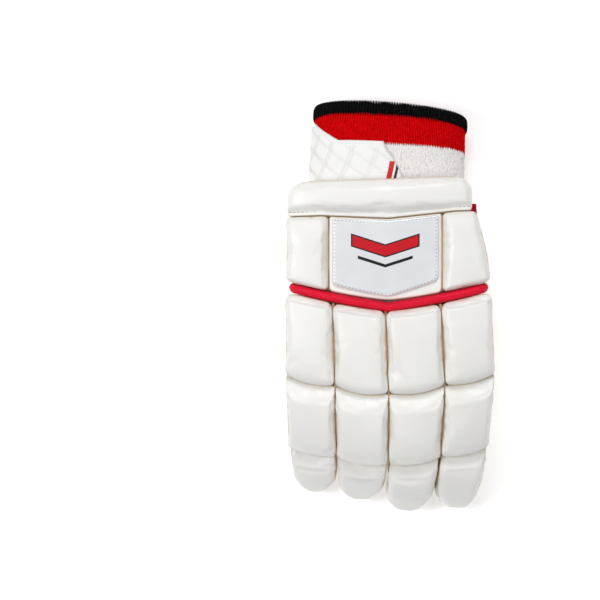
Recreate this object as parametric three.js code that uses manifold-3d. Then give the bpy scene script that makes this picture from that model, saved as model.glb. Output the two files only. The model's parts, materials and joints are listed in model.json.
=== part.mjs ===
// Cricket batting glove for a right hand, lying palm down on its fingertips, its thumb and its cuff.
// Millimetres. +Z points up from the surface, +Y to the wrist opening and +X to the index side.
//
// The glove is laid out in hand coordinates: u runs across the hand, t runs along it from the
// knuckle line to the fingertips, and h stands up from the leather back that carries the pads.
import * as THREE from "three";
import { mergeVertices } from "three/addons/utils/BufferGeometryUtils.js";
import Module from "manifold-3d";

const wasm = await Module();
wasm.setup();

// Clearances
const SEAT = 0.3; // between a piece and the leather that it is sewn to
const SLACK = 0.3; // more of it where both of them are curved
const SEAM = 0.5; // between the hand and the cuff
const COLUMN_GAP = 1.0; // between the pads of two fingers
const ROW_GAP = 0.8; // between two pads in a row down a finger

// Walls
const LEATHER = 1.6;
const KNIT = 3.0;
const STRAP_THICK = 1.8;

// The hand as it lies: its width, its arch across, its fall to the little side and the bow of its lines
const HAND = { width: 144, arch: 7, sideFall: 3, bow: 14, bowPower: 1.4, palmHeight: 25, webHeight: 17 };
const WEB = 43; // from the knuckle line to where the finger stalls begin
const WRIST = 70; // from the knuckle line back to where the cuff is sewn on

// Down a finger: the length of each pad on the leather, and how far the tip pad wraps the fingertip
const ROW = { knuckle: 56.5, middle: 49.5, wrap: 15 };
const PITCH = { knuckles: 0, middleJoint: 13, endJoint: 30, fingertip: 48, wrapEnd: 86 };

// Fingers from the little side: length past the end joint, and curl as a share of the middle one's
const FINGERS = [
  { name: "little", tip: 20, curl: 1.18 },
  { name: "ring", tip: 19, curl: 1.25 },
  { name: "middle", tip: 27, curl: 1.12 },
  { name: "index", tip: 31, curl: 1.02 },
];

// Where the four columns of pads start and end across, as shares of the hand's width, down the fingers
const SPREAD = [
  { line: "knuckles", edges: [-0.488, -0.26, -0.013, 0.244, 0.491] },
  { line: "middleJoint", edges: [-0.491, -0.249, 0.003, 0.266, 0.51] },
  { line: "endJoint", edges: [-0.479, -0.243, 0.003, 0.249, 0.483] },
  { line: "fingertip", edges: [-0.446, -0.234, -0.02, 0.214, 0.452] },
];

const PAD = { knuckle: 20, middle: 19, tip: 16, side: 18, wrist: 19, badge: 13 };
const CORNER = { finger: 3.5, tip: 15, side: 3, wrist: 11, seam: 2, badge: 5 }; // radii seen from above
const STALL = { height: 16, inset: 1.2 };

// The hand shell's half width from the wrist to the web, as shares of the hand's width
const SHELL = [
  { v: 0, share: 0.375 },
  { v: 0.18, share: 0.41 },
  { v: 0.4, share: 0.441 },
  { v: 0.62, share: 0.455 },
  { v: 1, share: 0.462 },
];

// The back of the hand. The side pads and the piping end short of the fingers' outer edges, and the
// index side pad tapers until it is a little wider than the wrist pad. The wrist pad reaches past the
// wrist's seam towards the fingers, and its lower edge has a shallow notch.
const PIPING = { width: 7, height: 16.5, short: 2.5, endReach: 7, endRise: 0.7 };
const SIDE_PAD = { short: 1, wider: 2, swell: 2.4 };
const WRIST_PAD = { width: 126, depth: 24.3, past: 2, lean: 0.035, notch: 3.5, notchReach: 45 };
const BADGE = { x: -2, width: 77, margin: 2.6, vee: 4.5, lean: 0.065, thick: 1.6 };

// The knitted cuff: its colours' lengths from the seam to the rim, and the rim's outline and place
const CUFF = { length: 67, towelling: 41, band: 17.7, flat: 4.5, pitch: 23, yaw: 4.7 };
const RIM = { x: 1.5, halfWidth: 52.5, halfHeight: 23, sink: 2.5 };
const SEAM_X = -1.5;

// The strap: the shares of the way round the cuff, from the index side over the back, of its slanted
// tip, its shoulder, its widest point and its sewn end, and its edges as lengths along the cuff
const STRAP = { tip: 0.2425, slant: 0.0225, shoulder: 0.335, side: 0.45, under: 0.6, end: 0.825 };
const STRAP_EDGE = { from: 13.4, width: 28.8, flare: 12.7 };

// The thumb, folded under the palm with its pads on the floor
const THUMB = { x: 36, y: 54, yaw: 13, pitch: 34, root: 24, bend: 36, length: 88, width: 27, height: 15 };
const THUMB_PAD = { thick: 15, press: 1.2, overhang: 3, start: 20, tipLength: 40, past: 2 };
const GUSSET = { past: 5, length: 50, proud: 7.6, thick: 15, drop: 4 };

// How square each section is, from 2 for an ellipse up
const SQUARE = { finger: 3, hand: 4, seam: 3.4, rim: 2.2 };

const PALM_Z = THUMB_PAD.thick + THUMB.height + 1; // underside of the palm
const BACK_Z = PALM_Z + HAND.palmHeight;

const COLOURS = {
  white_leather: { color: "#efeeea", roughness: 0.5, metalness: 0 },
  palm_leather: { color: "#e6e2d8", roughness: 0.7, metalness: 0 },
  red_piping: { color: "#cc0a26", roughness: 0.5, metalness: 0 },
  badge_vinyl: { color: "#dfe1e4", roughness: 0.15, metalness: 0 },
  strap_vinyl: { color: "#f3f3f1", roughness: 0.45, metalness: 0 },
  towelling: { color: "#e2dfdc", roughness: 0.95, metalness: 0 },
  red_knit: { color: "#c7050a", roughness: 0.95, metalness: 0 },
  black_knit: { color: "#0c0c0c", roughness: 0.95, metalness: 0 },
  red_fabric: { color: "#b5102a", roughness: 0.9, metalness: 0 },
};

const radians = THREE.MathUtils.degToRad;
const lerp = THREE.MathUtils.lerp;
const clamp = THREE.MathUtils.clamp;
const HALF = HAND.width / 2;

// Side views

// The side view of a curved surface, from stops of arc distance and pitch below level, in degrees.
// The result gives how far forward and how far down the surface has gone at t, and its pitch.
function sideView(stops) {
  const ends = [{ forward: 0, down: 0 }];
  const reach = (k, t) => {
    const { t: from, pitch } = stops[k];
    const rate = radians(stops[k + 1].pitch - pitch) / (stops[k + 1].t - from);
    const start = radians(pitch);
    const now = start + rate * (t - from);
    const { forward, down } = ends[k];
    if (Math.abs(rate) < 1e-9) {
      const [ahead, below] = [Math.cos(start) * (t - from), Math.sin(start) * (t - from)];
      return { forward: forward + ahead, down: down + below, pitch: now };
    }
    return {
      forward: forward + (Math.sin(now) - Math.sin(start)) / rate,
      down: down - (Math.cos(now) - Math.cos(start)) / rate,
      pitch: now,
    };
  };
  for (let k = 0; k < stops.length - 1; k++) ends.push(reach(k, stops[k + 1].t));
  return (t) => {
    let k = 0;
    while (k < stops.length - 2 && t > stops[k + 1].t) k++;
    return reach(k, t);
  };
}

const T_MIDDLE = ROW.knuckle;
const T_END = ROW.knuckle + ROW.middle;

// How far the lines across the glove lie back at u, against the middle of the hand.
const bowAt = (u) => HAND.bow * Math.abs(u / HALF) ** HAND.bowPower;

// The level back of the hand, running into one finger's curl.
function fingerView({ tip, curl }) {
  const view = sideView([
    { t: 0, pitch: PITCH.knuckles },
    { t: T_MIDDLE, pitch: PITCH.middleJoint },
    { t: T_END, pitch: PITCH.endJoint * curl },
    { t: T_END + tip, pitch: PITCH.fingertip * curl },
    { t: T_END + tip + ROW.wrap, pitch: PITCH.wrapEnd },
  ]);
  return (t) => (t < 0 ? { forward: t, down: 0, pitch: 0 } : view(t));
}

const HAND_VIEW = fingerView(FINGERS[0]); // the fingers share it as far as their middle joints

// A point of the hand from its coordinates across, along and out, in the glove's frame.
function onHand(view, u, t, h) {
  const { forward, down, pitch } = view(t);
  const across = u / HALF;
  const roll = Math.atan((2 * HAND.arch * across - HAND.sideFall) / HALF);
  return new THREE.Vector3(
    u + h * Math.sin(roll),
    bowAt(u) - forward - h * Math.sin(pitch) * Math.cos(roll),
    BACK_Z - HAND.arch * across ** 2 + HAND.sideFall * across - down + h * Math.cos(pitch) * Math.cos(roll),
  );
}

// A point of the thumb, whose pads face the floor, from the same three coordinates.
const THUMB_VIEW = sideView([
  { t: -THUMB.root, pitch: THUMB.pitch },
  { t: 0, pitch: THUMB.pitch },
  { t: THUMB.bend, pitch: 0 },
  { t: THUMB.length, pitch: 0 },
]);

function onThumb(u, t, h) {
  const { forward, down, pitch } = THUMB_VIEW(t);
  const lie = THUMB_PAD.thick - THUMB_PAD.press + THUMB_VIEW(THUMB.length).down - down;
  const yaw = radians(THUMB.yaw);
  const ahead = forward - THUMB_VIEW(0).forward - h * Math.sin(pitch);
  return new THREE.Vector3(
    THUMB.x + u * Math.cos(yaw) - ahead * Math.sin(yaw),
    THUMB.y - u * Math.sin(yaw) - ahead * Math.cos(yaw),
    lie - h * Math.cos(pitch),
  );
}

// Solids

// A closed geometry from points and triangles, with its faces pointing out.
function outward(points, triangles) {
  const volume = triangles.reduce((sum, [a, b, c]) => {
    return sum + points[a].dot(new THREE.Vector3().crossVectors(points[b], points[c]));
  }, 0);
  const faces = volume < 0 ? triangles.map(([a, b, c]) => [a, c, b]) : triangles;
  const geometry = new THREE.BufferGeometry().setFromPoints(points);
  geometry.setIndex(faces.flat());
  return geometry;
}

// Triangles between two neighbouring loops of points, numbered from the first point of each.
function band(from, to, count) {
  const faces = [];
  for (let i = 0; i < count; i++) {
    const j = (i + 1) % count;
    faces.push([from + i, from + j, to + j], [from + i, to + j, to + i]);
  }
  return faces;
}

// A lid on a loop whose second half runs back over its first, so that the points face each other.
function lid(first, count, flipped) {
  const faces = [];
  for (let i = 0; i < count / 2 - 1; i++) {
    const [a, b] = [first + i, first + i + 1];
    const [c, d] = [first + count - 2 - i, first + count - 1 - i];
    faces.push([a, b, c], [a, c, d]);
  }
  return flipped ? faces.map(([a, b, c]) => [a, c, b]) : faces;
}

// A closed skin over a row of loops, with a lid on the first and on the last.
function loft(loops) {
  const count = loops[0].length;
  const faces = [...lid(0, count, true), ...lid((loops.length - 1) * count, count, false)];
  for (let k = 0; k < loops.length - 1; k++) faces.push(...band(k * count, (k + 1) * count, count));
  return outward(loops.flat(), faces);
}

// A wall between a row of outer loops and a row of inner loops, open at both ends.
function sleeve(outer, inner) {
  const count = outer[0].length;
  const loops = [...outer, ...inner.toReversed()];
  const faces = [];
  for (let k = 0; k < loops.length; k++) {
    faces.push(...band(k * count, ((k + 1) % loops.length) * count, count));
  }
  return outward(loops.flat(), faces);
}

function solidOf(geometry) {
  const plain = geometry.clone();
  plain.deleteAttribute("normal");
  plain.deleteAttribute("uv");
  const merged = mergeVertices(plain, 1e-4);
  return new wasm.Manifold(
    new wasm.Mesh({
      numProp: 3,
      vertProperties: merged.getAttribute("position").array,
      triVerts: new Uint32Array(merged.index.array),
    }),
  );
}

function geometryOf(solid) {
  const mesh = solid.getMesh();
  const geometry = new THREE.BufferGeometry();
  geometry.setAttribute("position", new THREE.BufferAttribute(mesh.vertProperties, 3));
  geometry.setIndex(new THREE.BufferAttribute(mesh.triVerts, 1));
  return geometry;
}

// The geometry of a cut solid, without the loose slivers that a cut can leave.
function mainPart(solid) {
  return geometryOf(solid.decompose().reduce((a, b) => (b.volume() > a.volume() ? b : a)));
}

// The geometry with what lies below the floor pressed flat away.
function onFloor(geometry) {
  const size = 4 * HAND.width;
  const above = new THREE.BoxGeometry(size, size, size).translate(0, 0, size / 2);
  return mainPart(solidOf(geometry).intersect(solidOf(above)));
}

// Sections

// Points round a flattened oval, its lower half first, as pairs from -1 to 1 of width and height.
function oval(half, power) {
  const point = (angle) => {
    const [c, s] = [Math.cos(angle), Math.sin(angle)];
    return { a: Math.sign(c) * Math.abs(c) ** (2 / power), b: Math.sign(s) * Math.abs(s) ** (2 / power) };
  };
  const turn = (i) => ((i + 0.5) * Math.PI) / half;
  const lower = Array.from({ length: half }, (_, i) => point(Math.PI + turn(i)));
  const upper = Array.from({ length: half }, (_, i) => point(turn(i)));
  return [...lower, ...upper];
}

// How a pad's half width draws in near an end, for a corner of that radius, at a distance from it.
function cornerInset(radius, distance) {
  if (distance >= radius) return 0;
  return radius - Math.sqrt(radius ** 2 - (radius - distance) ** 2);
}

// A stuffed pad. left and right give its sides from the share v along it, start and end its ends
// from u across the hand, and place turns hand coordinates into points.
// The stops list the shares along it and the share of its full thickness there.
function pad({ place, left, right, start, end, thick, stops, corners, half = 6 }) {
  const edge = { low: 0.06, waist: 0.3, power: 3 };
  const loops = stops.map(({ v, rise }) => {
    const middle = (left(v) + right(v)) / 2;
    const length = end(middle) - start(middle);
    const inset = Math.max(cornerInset(corners[0], v * length), cornerInset(corners[1], (1 - v) * length));
    const reach = (right(v) - left(v)) / 2 - inset;
    const point = (a, h) => {
      const u = middle + a * reach;
      return place(u, lerp(start(u), end(u), v), SEAT + h);
    };
    const top = rise * thick;
    const points = [];
    for (let i = 0; i < half; i++) {
      points.push(point(lerp(-1, 1, i / (half - 1)) * (1 - edge.low), 0));
    }
    for (let i = 0; i < half; i++) {
      const angle = (Math.PI * i) / (half - 1);
      const [c, s] = [Math.cos(angle), Math.sin(angle)];
      const a = Math.sign(c) * Math.abs(c) ** (2 / edge.power);
      points.push(point(a, top * lerp(edge.waist, 1, Math.abs(s) ** (2 / edge.power))));
    }
    return points;
  });
  return loft(loops);
}

// A pad's profile: a slope up from its sewn end, a level crown and a blunt free end.
const ROLL_STOPS = [
  { v: 0, rise: 0.34 },
  { v: 0.04, rise: 0.58 },
  { v: 0.14, rise: 0.84 },
  { v: 0.3, rise: 0.98 },
  { v: 0.6, rise: 1.0 },
  { v: 0.84, rise: 0.96 },
  { v: 0.95, rise: 0.78 },
  { v: 1, rise: 0.46 },
];

const TIP_STOPS = [
  { v: 0, rise: 0.36 },
  { v: 0.06, rise: 0.66 },
  { v: 0.2, rise: 0.92 },
  { v: 0.42, rise: 1.0 },
  { v: 0.62, rise: 1.0 },
  { v: 0.8, rise: 0.95 },
  { v: 0.92, rise: 0.82 },
  { v: 1, rise: 0.54 },
];

// Fingers

// Where each line across the fingers lies along them.
const LONGEST_TIP = Math.max(...FINGERS.map(({ tip }) => tip));
const lineAt = { knuckles: 0, middleJoint: T_MIDDLE, endJoint: T_END, fingertip: T_END + LONGEST_TIP };

// The left or right edge of a finger's column at t, before the gap.
function columnEdge(finger, side, t) {
  let k = 0;
  while (k < SPREAD.length - 2 && t > lineAt[SPREAD[k + 1].line]) k++;
  const [from, to] = [SPREAD[k], SPREAD[k + 1]];
  const part = (t - lineAt[from.line]) / (lineAt[to.line] - lineAt[from.line]);
  return HAND.width * lerp(from.edges[finger + side], to.edges[finger + side], clamp(part, 0, 1));
}

function fingerPad(finger, from, to, thick, stops, corners) {
  const view = fingerView(FINGERS[finger]);
  const at = (v) => lerp(from, to, v);
  return pad({
    place: (u, t, h) => onHand(view, u, t, h),
    left: (v) => columnEdge(finger, 0, at(v)) + COLUMN_GAP / 2,
    right: (v) => columnEdge(finger, 1, at(v)) - COLUMN_GAP / 2,
    start: () => from + ROW_GAP / 2,
    end: () => to - ROW_GAP / 2,
    thick,
    stops,
    corners,
  });
}

const ROLL_CORNERS = [CORNER.finger, CORNER.finger];
const TIP_CORNERS = [CORNER.finger, CORNER.tip];

const knuckleRoll = (finger) => fingerPad(finger, 0, T_MIDDLE, PAD.knuckle, ROLL_STOPS, ROLL_CORNERS);

const middleRoll = (finger) => fingerPad(finger, T_MIDDLE, T_END, PAD.middle, ROLL_STOPS, ROLL_CORNERS);

const tipRoll = (finger) => {
  const end = T_END + FINGERS[finger].tip + ROW.wrap;
  return onFloor(fingerPad(finger, T_END, end, PAD.tip, TIP_STOPS, TIP_CORNERS));
};

// The round end of a finger or a thumb: the distance back from its tip as a share of its height,
// and its size there as a share of the size before it
const ROUND_END = [
  { back: 0.42, shrink: 0.96 },
  { back: 0.13, shrink: 0.82 },
  { back: 0, shrink: 0.6 },
];

// A finger stall's section at t, drawn in by a wall, and shrunk towards its middle by a share.
function stallSection(finger, t, wall, shrink) {
  const view = fingerView(FINGERS[finger]);
  const [left, right] = [columnEdge(finger, 0, t), columnEdge(finger, 1, t)];
  const reach = ((right - left) / 2 - STALL.inset) * shrink - wall;
  const rise = (STALL.height / 2) * shrink - wall;
  const middle = (left + right) / 2;
  const sunk = STALL.height / 2 + SLACK;
  return oval(7, SQUARE.finger).map(({ a, b }) => onHand(view, middle + a * reach, t, b * rise - sunk));
}

// A hollow finger of leather, open at the web and round at the tip.
function fingerStall(finger) {
  const tip = T_END + FINGERS[finger].tip;
  const mouth = WEB + SEAT + SLACK / 2;
  const stations = [0.14, 0.3, 0.46, 0.6, 0.74, 0.86];
  const body = [0, ...stations].map((v) => ({ t: lerp(mouth, tip, v), shrink: 1 }));
  const cap = ROUND_END.map(({ back, shrink }) => ({ t: tip - back * STALL.height, shrink }));
  const outer = [...body, ...cap].map(({ t, shrink }) => stallSection(finger, t, 0, shrink));
  const hollow = [{ t: mouth - LEATHER, shrink: 1 }, ...body.slice(1), ...cap.slice(0, 2)];
  const inner = hollow.map(({ t, shrink }) => stallSection(finger, t, LEATHER, shrink));
  return mainPart(solidOf(loft(outer)).subtract(solidOf(loft(inner))));
}

// The hand

function shellHalfWidth(t) {
  const v = (t + WRIST) / (WRIST + WEB);
  let k = 0;
  while (k < SHELL.length - 2 && v > SHELL[k + 1].v) k++;
  const part = (v - SHELL[k].v) / (SHELL[k + 1].v - SHELL[k].v);
  return HAND.width * lerp(SHELL[k].share, SHELL[k + 1].share, clamp(part, 0, 1));
}

// The hand shell's section at t: its back follows the arch, and its palm is level up to the knuckles.
function shellSection(t, wall) {
  const past = clamp(t / WEB, 0, 1);
  const height = lerp(HAND.palmHeight, HAND.webHeight, past);
  const reach = shellHalfWidth(t) - wall;
  return oval(14, SQUARE.hand).map(({ a, b }) => {
    const u = a * reach;
    const across = u / HALF;
    const level = (HAND.arch * across ** 2 - HAND.sideFall * across) * (1 - past);
    const low = level - height;
    const straight = Math.max(-t / WRIST, 0); // the shell's lines lose their bow towards the wrist
    const h = lerp(low + wall, -wall, (b + 1) / 2) - SLACK;
    return onHand(HAND_VIEW, u, t + bowAt(u) * straight, h);
  });
}

const SHELL_STATIONS = [0, 0.15, 0.3, 0.45, 0.6, 0.73, 0.86, 1];

function shellLoft(wall, from, to) {
  return loft(SHELL_STATIONS.map((v) => shellSection(lerp(from, to, v), wall)));
}

// The room that a piece sewn against the hand shell has to keep clear of.
const shellRoom = solidOf(shellLoft(-SEAT, -WRIST - SEAT, WEB + SEAT));

function thumbSection(t, wall, shrink = 1) {
  const reach = (THUMB.width / 2) * shrink - wall;
  const rise = (THUMB.height / 2) * shrink - wall;
  return oval(7, SQUARE.finger).map(({ a, b }) => onThumb(a * reach, t, -THUMB.height / 2 + b * rise));
}

// The thumb from its root inside the palm, ending a number of rings before its very tip.
function thumbLoft(wall, ringsLeftOut) {
  const bends = [0, 1 / 3, 2 / 3, 1].map((v) => v * THUMB.bend);
  const body = [-THUMB.root, ...bends, (THUMB.bend + THUMB.length) / 2].map((t) => ({ t, shrink: 1 }));
  const cap = ROUND_END.map(({ back, shrink }) => ({ t: THUMB.length - back * THUMB.height, shrink }));
  const rings = [...body, ...cap.slice(0, cap.length - ringsLeftOut)];
  return loft(rings.map(({ t, shrink }) => thumbSection(t, wall, shrink)));
}

// Palm and back in one shell, open at the wrist, with a hole for each finger and for the thumb.
function handShell() {
  const beyond = 2 * LEATHER;
  let shell = solidOf(shellLoft(0, -WRIST, WEB)).subtract(
    solidOf(shellLoft(LEATHER, -WRIST - beyond, WEB - LEATHER)),
  );
  FINGERS.forEach((_, finger) => {
    const plug = [WEB - beyond, WEB + beyond].map((t) => stallSection(finger, t, LEATHER, 1));
    shell = shell.subtract(solidOf(loft(plug)));
  });
  return mainPart(shell.subtract(solidOf(thumbLoft(LEATHER, 1))));
}

function thumbStall() {
  const wall = solidOf(thumbLoft(0, 0)).subtract(solidOf(thumbLoft(LEATHER, 1)));
  return mainPart(wall.subtract(shellRoom));
}

function thumbPad(from, to, stops, corners) {
  const reach = THUMB.width / 2 + THUMB_PAD.overhang;
  return onFloor(
    pad({
      place: (u, t, h) => onThumb(u, t, h + SLACK / 2),
      left: () => -reach,
      right: () => reach,
      start: () => from + ROW_GAP / 2,
      end: () => to - ROW_GAP / 2,
      thick: THUMB_PAD.thick,
      stops,
      corners,
    }),
  );
}

// Red fabric between the index side of the hand and the thumb. It stands out of the hand's side by
// a share of its fullest, and is as thick as another share says, at each share v along it.
const GUSSET_STOPS = [
  { v: 0, out: 0.97, thick: 0.5 },
  { v: 0.12, out: 1.0, thick: 0.8 },
  { v: 0.5, out: 0.78, thick: 1.0 },
  { v: 0.85, out: 0.4, thick: 0.7 },
  { v: 1, out: 0.05, thick: 0.3 },
];

function thumbGusset() {
  const middleZ = PALM_Z + HAND.palmHeight / 2 - GUSSET.drop;
  const loops = GUSSET_STOPS.map(({ v, out, thick }) => {
    const y = WRIST + GUSSET.past - v * GUSSET.length;
    const side = shellHalfWidth(-y) + out * GUSSET.proud;
    const middle = (side + THUMB.x) / 2;
    return oval(6, SQUARE.finger).map(({ a, b }) => {
      const z = middleZ + (b * GUSSET.thick * thick) / 2;
      return new THREE.Vector3(middle + a * (side - middle), y, z);
    });
  });
  const room = shellRoom.add(cuffRoom()).add(solidOf(thumbLoft(-SEAT, 1)));
  return mainPart(solidOf(loft(loops)).subtract(room));
}

// The back of the hand

// The outer edges of the fingers at the knuckle line, and the badge's and the wrist pad's edges.
const littleSide = columnEdge(0, 0, 0);
const indexSide = columnEdge(FINGERS.length - 1, 1, 0);
const badgeEdge = { little: BADGE.x - BADGE.width / 2, index: BADGE.x + BADGE.width / 2 };
const wristPadEdge = {
  little: littleSide + SIDE_PAD.short,
  index: littleSide + SIDE_PAD.short + WRIST_PAD.width,
};

// The wrist pad's edge towards the fingers, where the side pads and the badge start, along the hand.
function wristEdge(u) {
  const notch = WRIST_PAD.notch * Math.max(0, 1 - Math.abs(u) / WRIST_PAD.notchReach);
  return notch - WRIST + WRIST_PAD.past - WRIST_PAD.lean * u;
}

function wristPad() {
  return pad({
    place: (u, t, h) => onHand(HAND_VIEW, u, t + bowAt(u), h),
    left: () => wristPadEdge.little,
    right: () => wristPadEdge.index,
    start: (u) => WRIST_PAD.past - WRIST - WRIST_PAD.depth - WRIST_PAD.lean * u,
    end: wristEdge,
    thick: PAD.wrist,
    stops: [
      { v: 0, rise: 0.4 },
      { v: 0.08, rise: 0.72 },
      { v: 0.25, rise: 0.94 },
      { v: 0.5, rise: 1.0 },
      { v: 0.75, rise: 0.92 },
      { v: 0.93, rise: 0.66 },
      { v: 1, rise: 0.5 },
    ],
    corners: [CORNER.wrist, CORNER.seam],
    half: 12,
  });
}

// Where the pads on the back of the hand start and end at u.
const backTop = (u) => wristEdge(u) + bowAt(u) + ROW_GAP;
const backBottom = -PIPING.width - ROW_GAP;

const SIDE_STOPS = [
  { v: 0, rise: 0.55 },
  { v: 0.05, rise: 0.82 },
  { v: 0.15, rise: 0.97 },
  { v: 0.5, rise: 1.0 },
  { v: 0.8, rise: 0.98 },
  { v: 0.94, rise: 0.86 },
  { v: 1, rise: 0.6 },
];

function sidePad(left, right) {
  return pad({
    place: (u, t, h) => onHand(HAND_VIEW, u, t, h),
    left,
    right,
    start: backTop,
    end: () => backBottom,
    thick: PAD.side,
    stops: SIDE_STOPS,
    corners: [CORNER.side, CORNER.side],
  });
}

const littleSidePad = () =>
  sidePad(
    () => wristPadEdge.little,
    () => badgeEdge.little - COLUMN_GAP / 2,
  );

function indexSidePad() {
  const widest = indexSide - SIDE_PAD.short;
  const narrowest = wristPadEdge.index + SIDE_PAD.wider;
  return sidePad(
    () => badgeEdge.index + COLUMN_GAP / 2,
    (v) => lerp(widest, narrowest, (1 - v) ** SIDE_PAD.swell),
  );
}

// A flat-topped slab on the back of the hand, between two heights.
function slab({ left, right, start, end, low, high, corners, half }) {
  const middle = (left + right) / 2;
  const loops = [0, 0.08, 0.3, 0.55, 0.8, 0.94, 1].map((v) => {
    const length = end(middle) - start(middle);
    const inset = Math.max(cornerInset(corners[0], v * length), cornerInset(corners[1], (1 - v) * length));
    const reach = (right - left) / 2 - inset;
    const row = (h) =>
      Array.from({ length: half }, (_, i) => {
        const u = middle + lerp(-1, 1, i / (half - 1)) * reach;
        return onHand(HAND_VIEW, u, lerp(start(u), end(u), v), h);
      });
    return [...row(low), ...row(high).reverse()];
  });
  return loft(loops);
}

function badgeBacking() {
  return pad({
    place: (u, t, h) => onHand(HAND_VIEW, u, t, h),
    left: () => badgeEdge.little + COLUMN_GAP / 2,
    right: () => badgeEdge.index - COLUMN_GAP / 2,
    start: backTop,
    end: () => backBottom,
    thick: PAD.badge,
    stops: [
      { v: 0, rise: 1.0 },
      { v: 0.5, rise: 1.0 },
      { v: 0.97, rise: 1.0 },
      { v: 1, rise: 0.8 },
    ],
    corners: [CORNER.seam, CORNER.side],
    half: 8,
  });
}

function badgePlate() {
  const side = COLUMN_GAP / 2 + BADGE.margin;
  const low = PAD.badge + 2 * SEAT;
  const slope = (u) => BADGE.vee * Math.abs(u / badgeEdge.index) + BADGE.lean * u;
  return slab({
    left: badgeEdge.little + side,
    right: badgeEdge.index - side,
    start: (u) => backTop(u) + ROW_GAP,
    end: (u) => backBottom - BADGE.margin - slope(u),
    low,
    high: low + BADGE.thick,
    corners: [CORNER.seam, CORNER.badge],
    half: 8,
  });
}

// A red roll of leather along the knuckle line, sewn between the back and the fingers.
function knucklePiping() {
  const section = [
    { across: -0.42, up: 0 },
    { across: 0.42, up: 0 },
    { across: 0.5, up: 0.5 },
    { across: 0.46, up: 0.82 },
    { across: 0.24, up: 0.97 },
    { across: -0.24, up: 0.97 },
    { across: -0.46, up: 0.82 },
    { across: -0.5, up: 0.5 },
  ];
  const steps = 14;
  const [left, right] = [littleSide + PIPING.short, indexSide - PIPING.short];
  const loops = Array.from({ length: steps + 1 }, (_, i) => {
    const u = lerp(left, right, i / steps);
    const fromEnd = Math.min(u - left, right - u);
    const top = PIPING.height * lerp(PIPING.endRise, 1, Math.min(fromEnd / PIPING.endReach, 1));
    return section.map(({ across, up }) => {
      const t = -PIPING.width / 2 + across * PIPING.width;
      return onHand(HAND_VIEW, u, t, SEAT + up * top);
    });
  });
  return loft(loops);
}

// The cuff

const CUFF_POINTS = 20; // points along the back of the cuff, and as many along its underside

// The points round the cuff, from the wrist seam at v of 0 to the rim at 1, inside by a wall.
function cuffLoop(v, wall) {
  const [pitch, yaw] = [radians(CUFF.pitch), radians(CUFF.yaw)];
  const middle = HAND.palmHeight / 2;
  const rimZ = RIM.halfHeight * Math.cos(pitch) - RIM.sink;
  return oval(CUFF_POINTS, lerp(SQUARE.seam, SQUARE.rim, v)).map(({ a, b }) => {
    const u = SEAM_X + a * (shellHalfWidth(-WRIST) - wall);
    const across = u / HALF;
    const fall = HAND.sideFall * across - HAND.arch * across ** 2;
    const seam = new THREE.Vector3(
      u,
      WRIST + SEAM,
      PALM_Z + middle + b * (middle - wall) + (fall * (b + 1)) / 2,
    );
    const width = a * (RIM.halfWidth - wall);
    const rise = b * (RIM.halfHeight - wall);
    const rim = new THREE.Vector3(
      RIM.x + width * Math.cos(yaw),
      WRIST + SEAM + CUFF.length - width * Math.sin(yaw) + rise * Math.sin(pitch),
      rimZ + rise * Math.cos(pitch),
    );
    const point = seam.lerp(rim, v);
    point.z = Math.max(point.z, wall);
    return point;
  });
}

// A ring of the cuff with the knit's thickness, from its stations as lengths along the cuff.
function cuffPart(lengths) {
  const stations = lengths.map((length) => length / CUFF.length);
  return sleeve(
    stations.map((v) => cuffLoop(v, 0)),
    stations.map((v) => cuffLoop(v, KNIT)),
  );
}

const bandStart = CUFF.towelling + SEAT;
const hemStart = CUFF.towelling + CUFF.band + SEAT;

const cuffTowelling = () => cuffPart([0, CUFF.towelling / 2, CUFF.towelling]);
const cuffBand = () => cuffPart([bandStart, hemStart - SEAT]);
const cuffHem = () => cuffPart([hemStart, CUFF.length - CUFF.flat, CUFF.length]);

// The room that a piece beside the cuff has to keep clear of.
function cuffRoom() {
  return solidOf(loft([-0.02, 0.5, 1].map((v) => cuffLoop(v, -SEAT))));
}

// A point over the cuff, a share of the way round it, at a length along it and a distance out.
function overCuff(round, length, out) {
  const loop = cuffLoop(length / CUFF.length, -out);
  const k = round * loop.length;
  const first = Math.floor(k);
  const at = (i) => loop[(i + CUFF_POINTS) % loop.length];
  return at(first).clone().lerp(at(first + 1), k - first);
}

// The strap, from its slanted tip on the back round the little side to its sewn end under the cuff.
// Its rows lie over the cuff's own points, so that both have the same flats.
function wristStrap() {
  const { from, width, flare } = STRAP_EDGE;
  const points = 2 * CUFF_POINTS;
  const first = Math.ceil(STRAP.tip * points);
  const last = Math.floor(STRAP.end * points);
  const rows = Array.from({ length: last - first + 1 }, (_, i) => (first + i) / points);
  const widthAt = (round) => {
    const widening = clamp((round - STRAP.shoulder) / (STRAP.side - STRAP.shoulder), 0, 1);
    const narrowing = clamp((round - STRAP.side) / (STRAP.under - STRAP.side), 0, 1);
    return width + flare * (widening - narrowing);
  };
  const loops = [STRAP.tip, ...rows].map((round) => {
    const fade = clamp((STRAP.shoulder - round) / (STRAP.shoulder - STRAP.tip), 0, 1);
    const row = (out) =>
      [0, 0.5, 1].map((s) => {
        const slanted = round - STRAP.slant * (1 - s) * fade;
        return overCuff(slanted, from + s * widthAt(round), out);
      });
    return [...row(SEAT + SLACK), ...row(SEAT + SLACK + STRAP_THICK).reverse()];
  });
  return loft(loops);
}

// The glove

const glove = new THREE.Group();

function add(name, geometry, colour) {
  const mesh = new THREE.Mesh(geometry, new THREE.MeshStandardMaterial(COLOURS[colour]));
  mesh.name = name;
  mesh.geometry.computeVertexNormals();
  glove.add(mesh);
}

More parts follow.
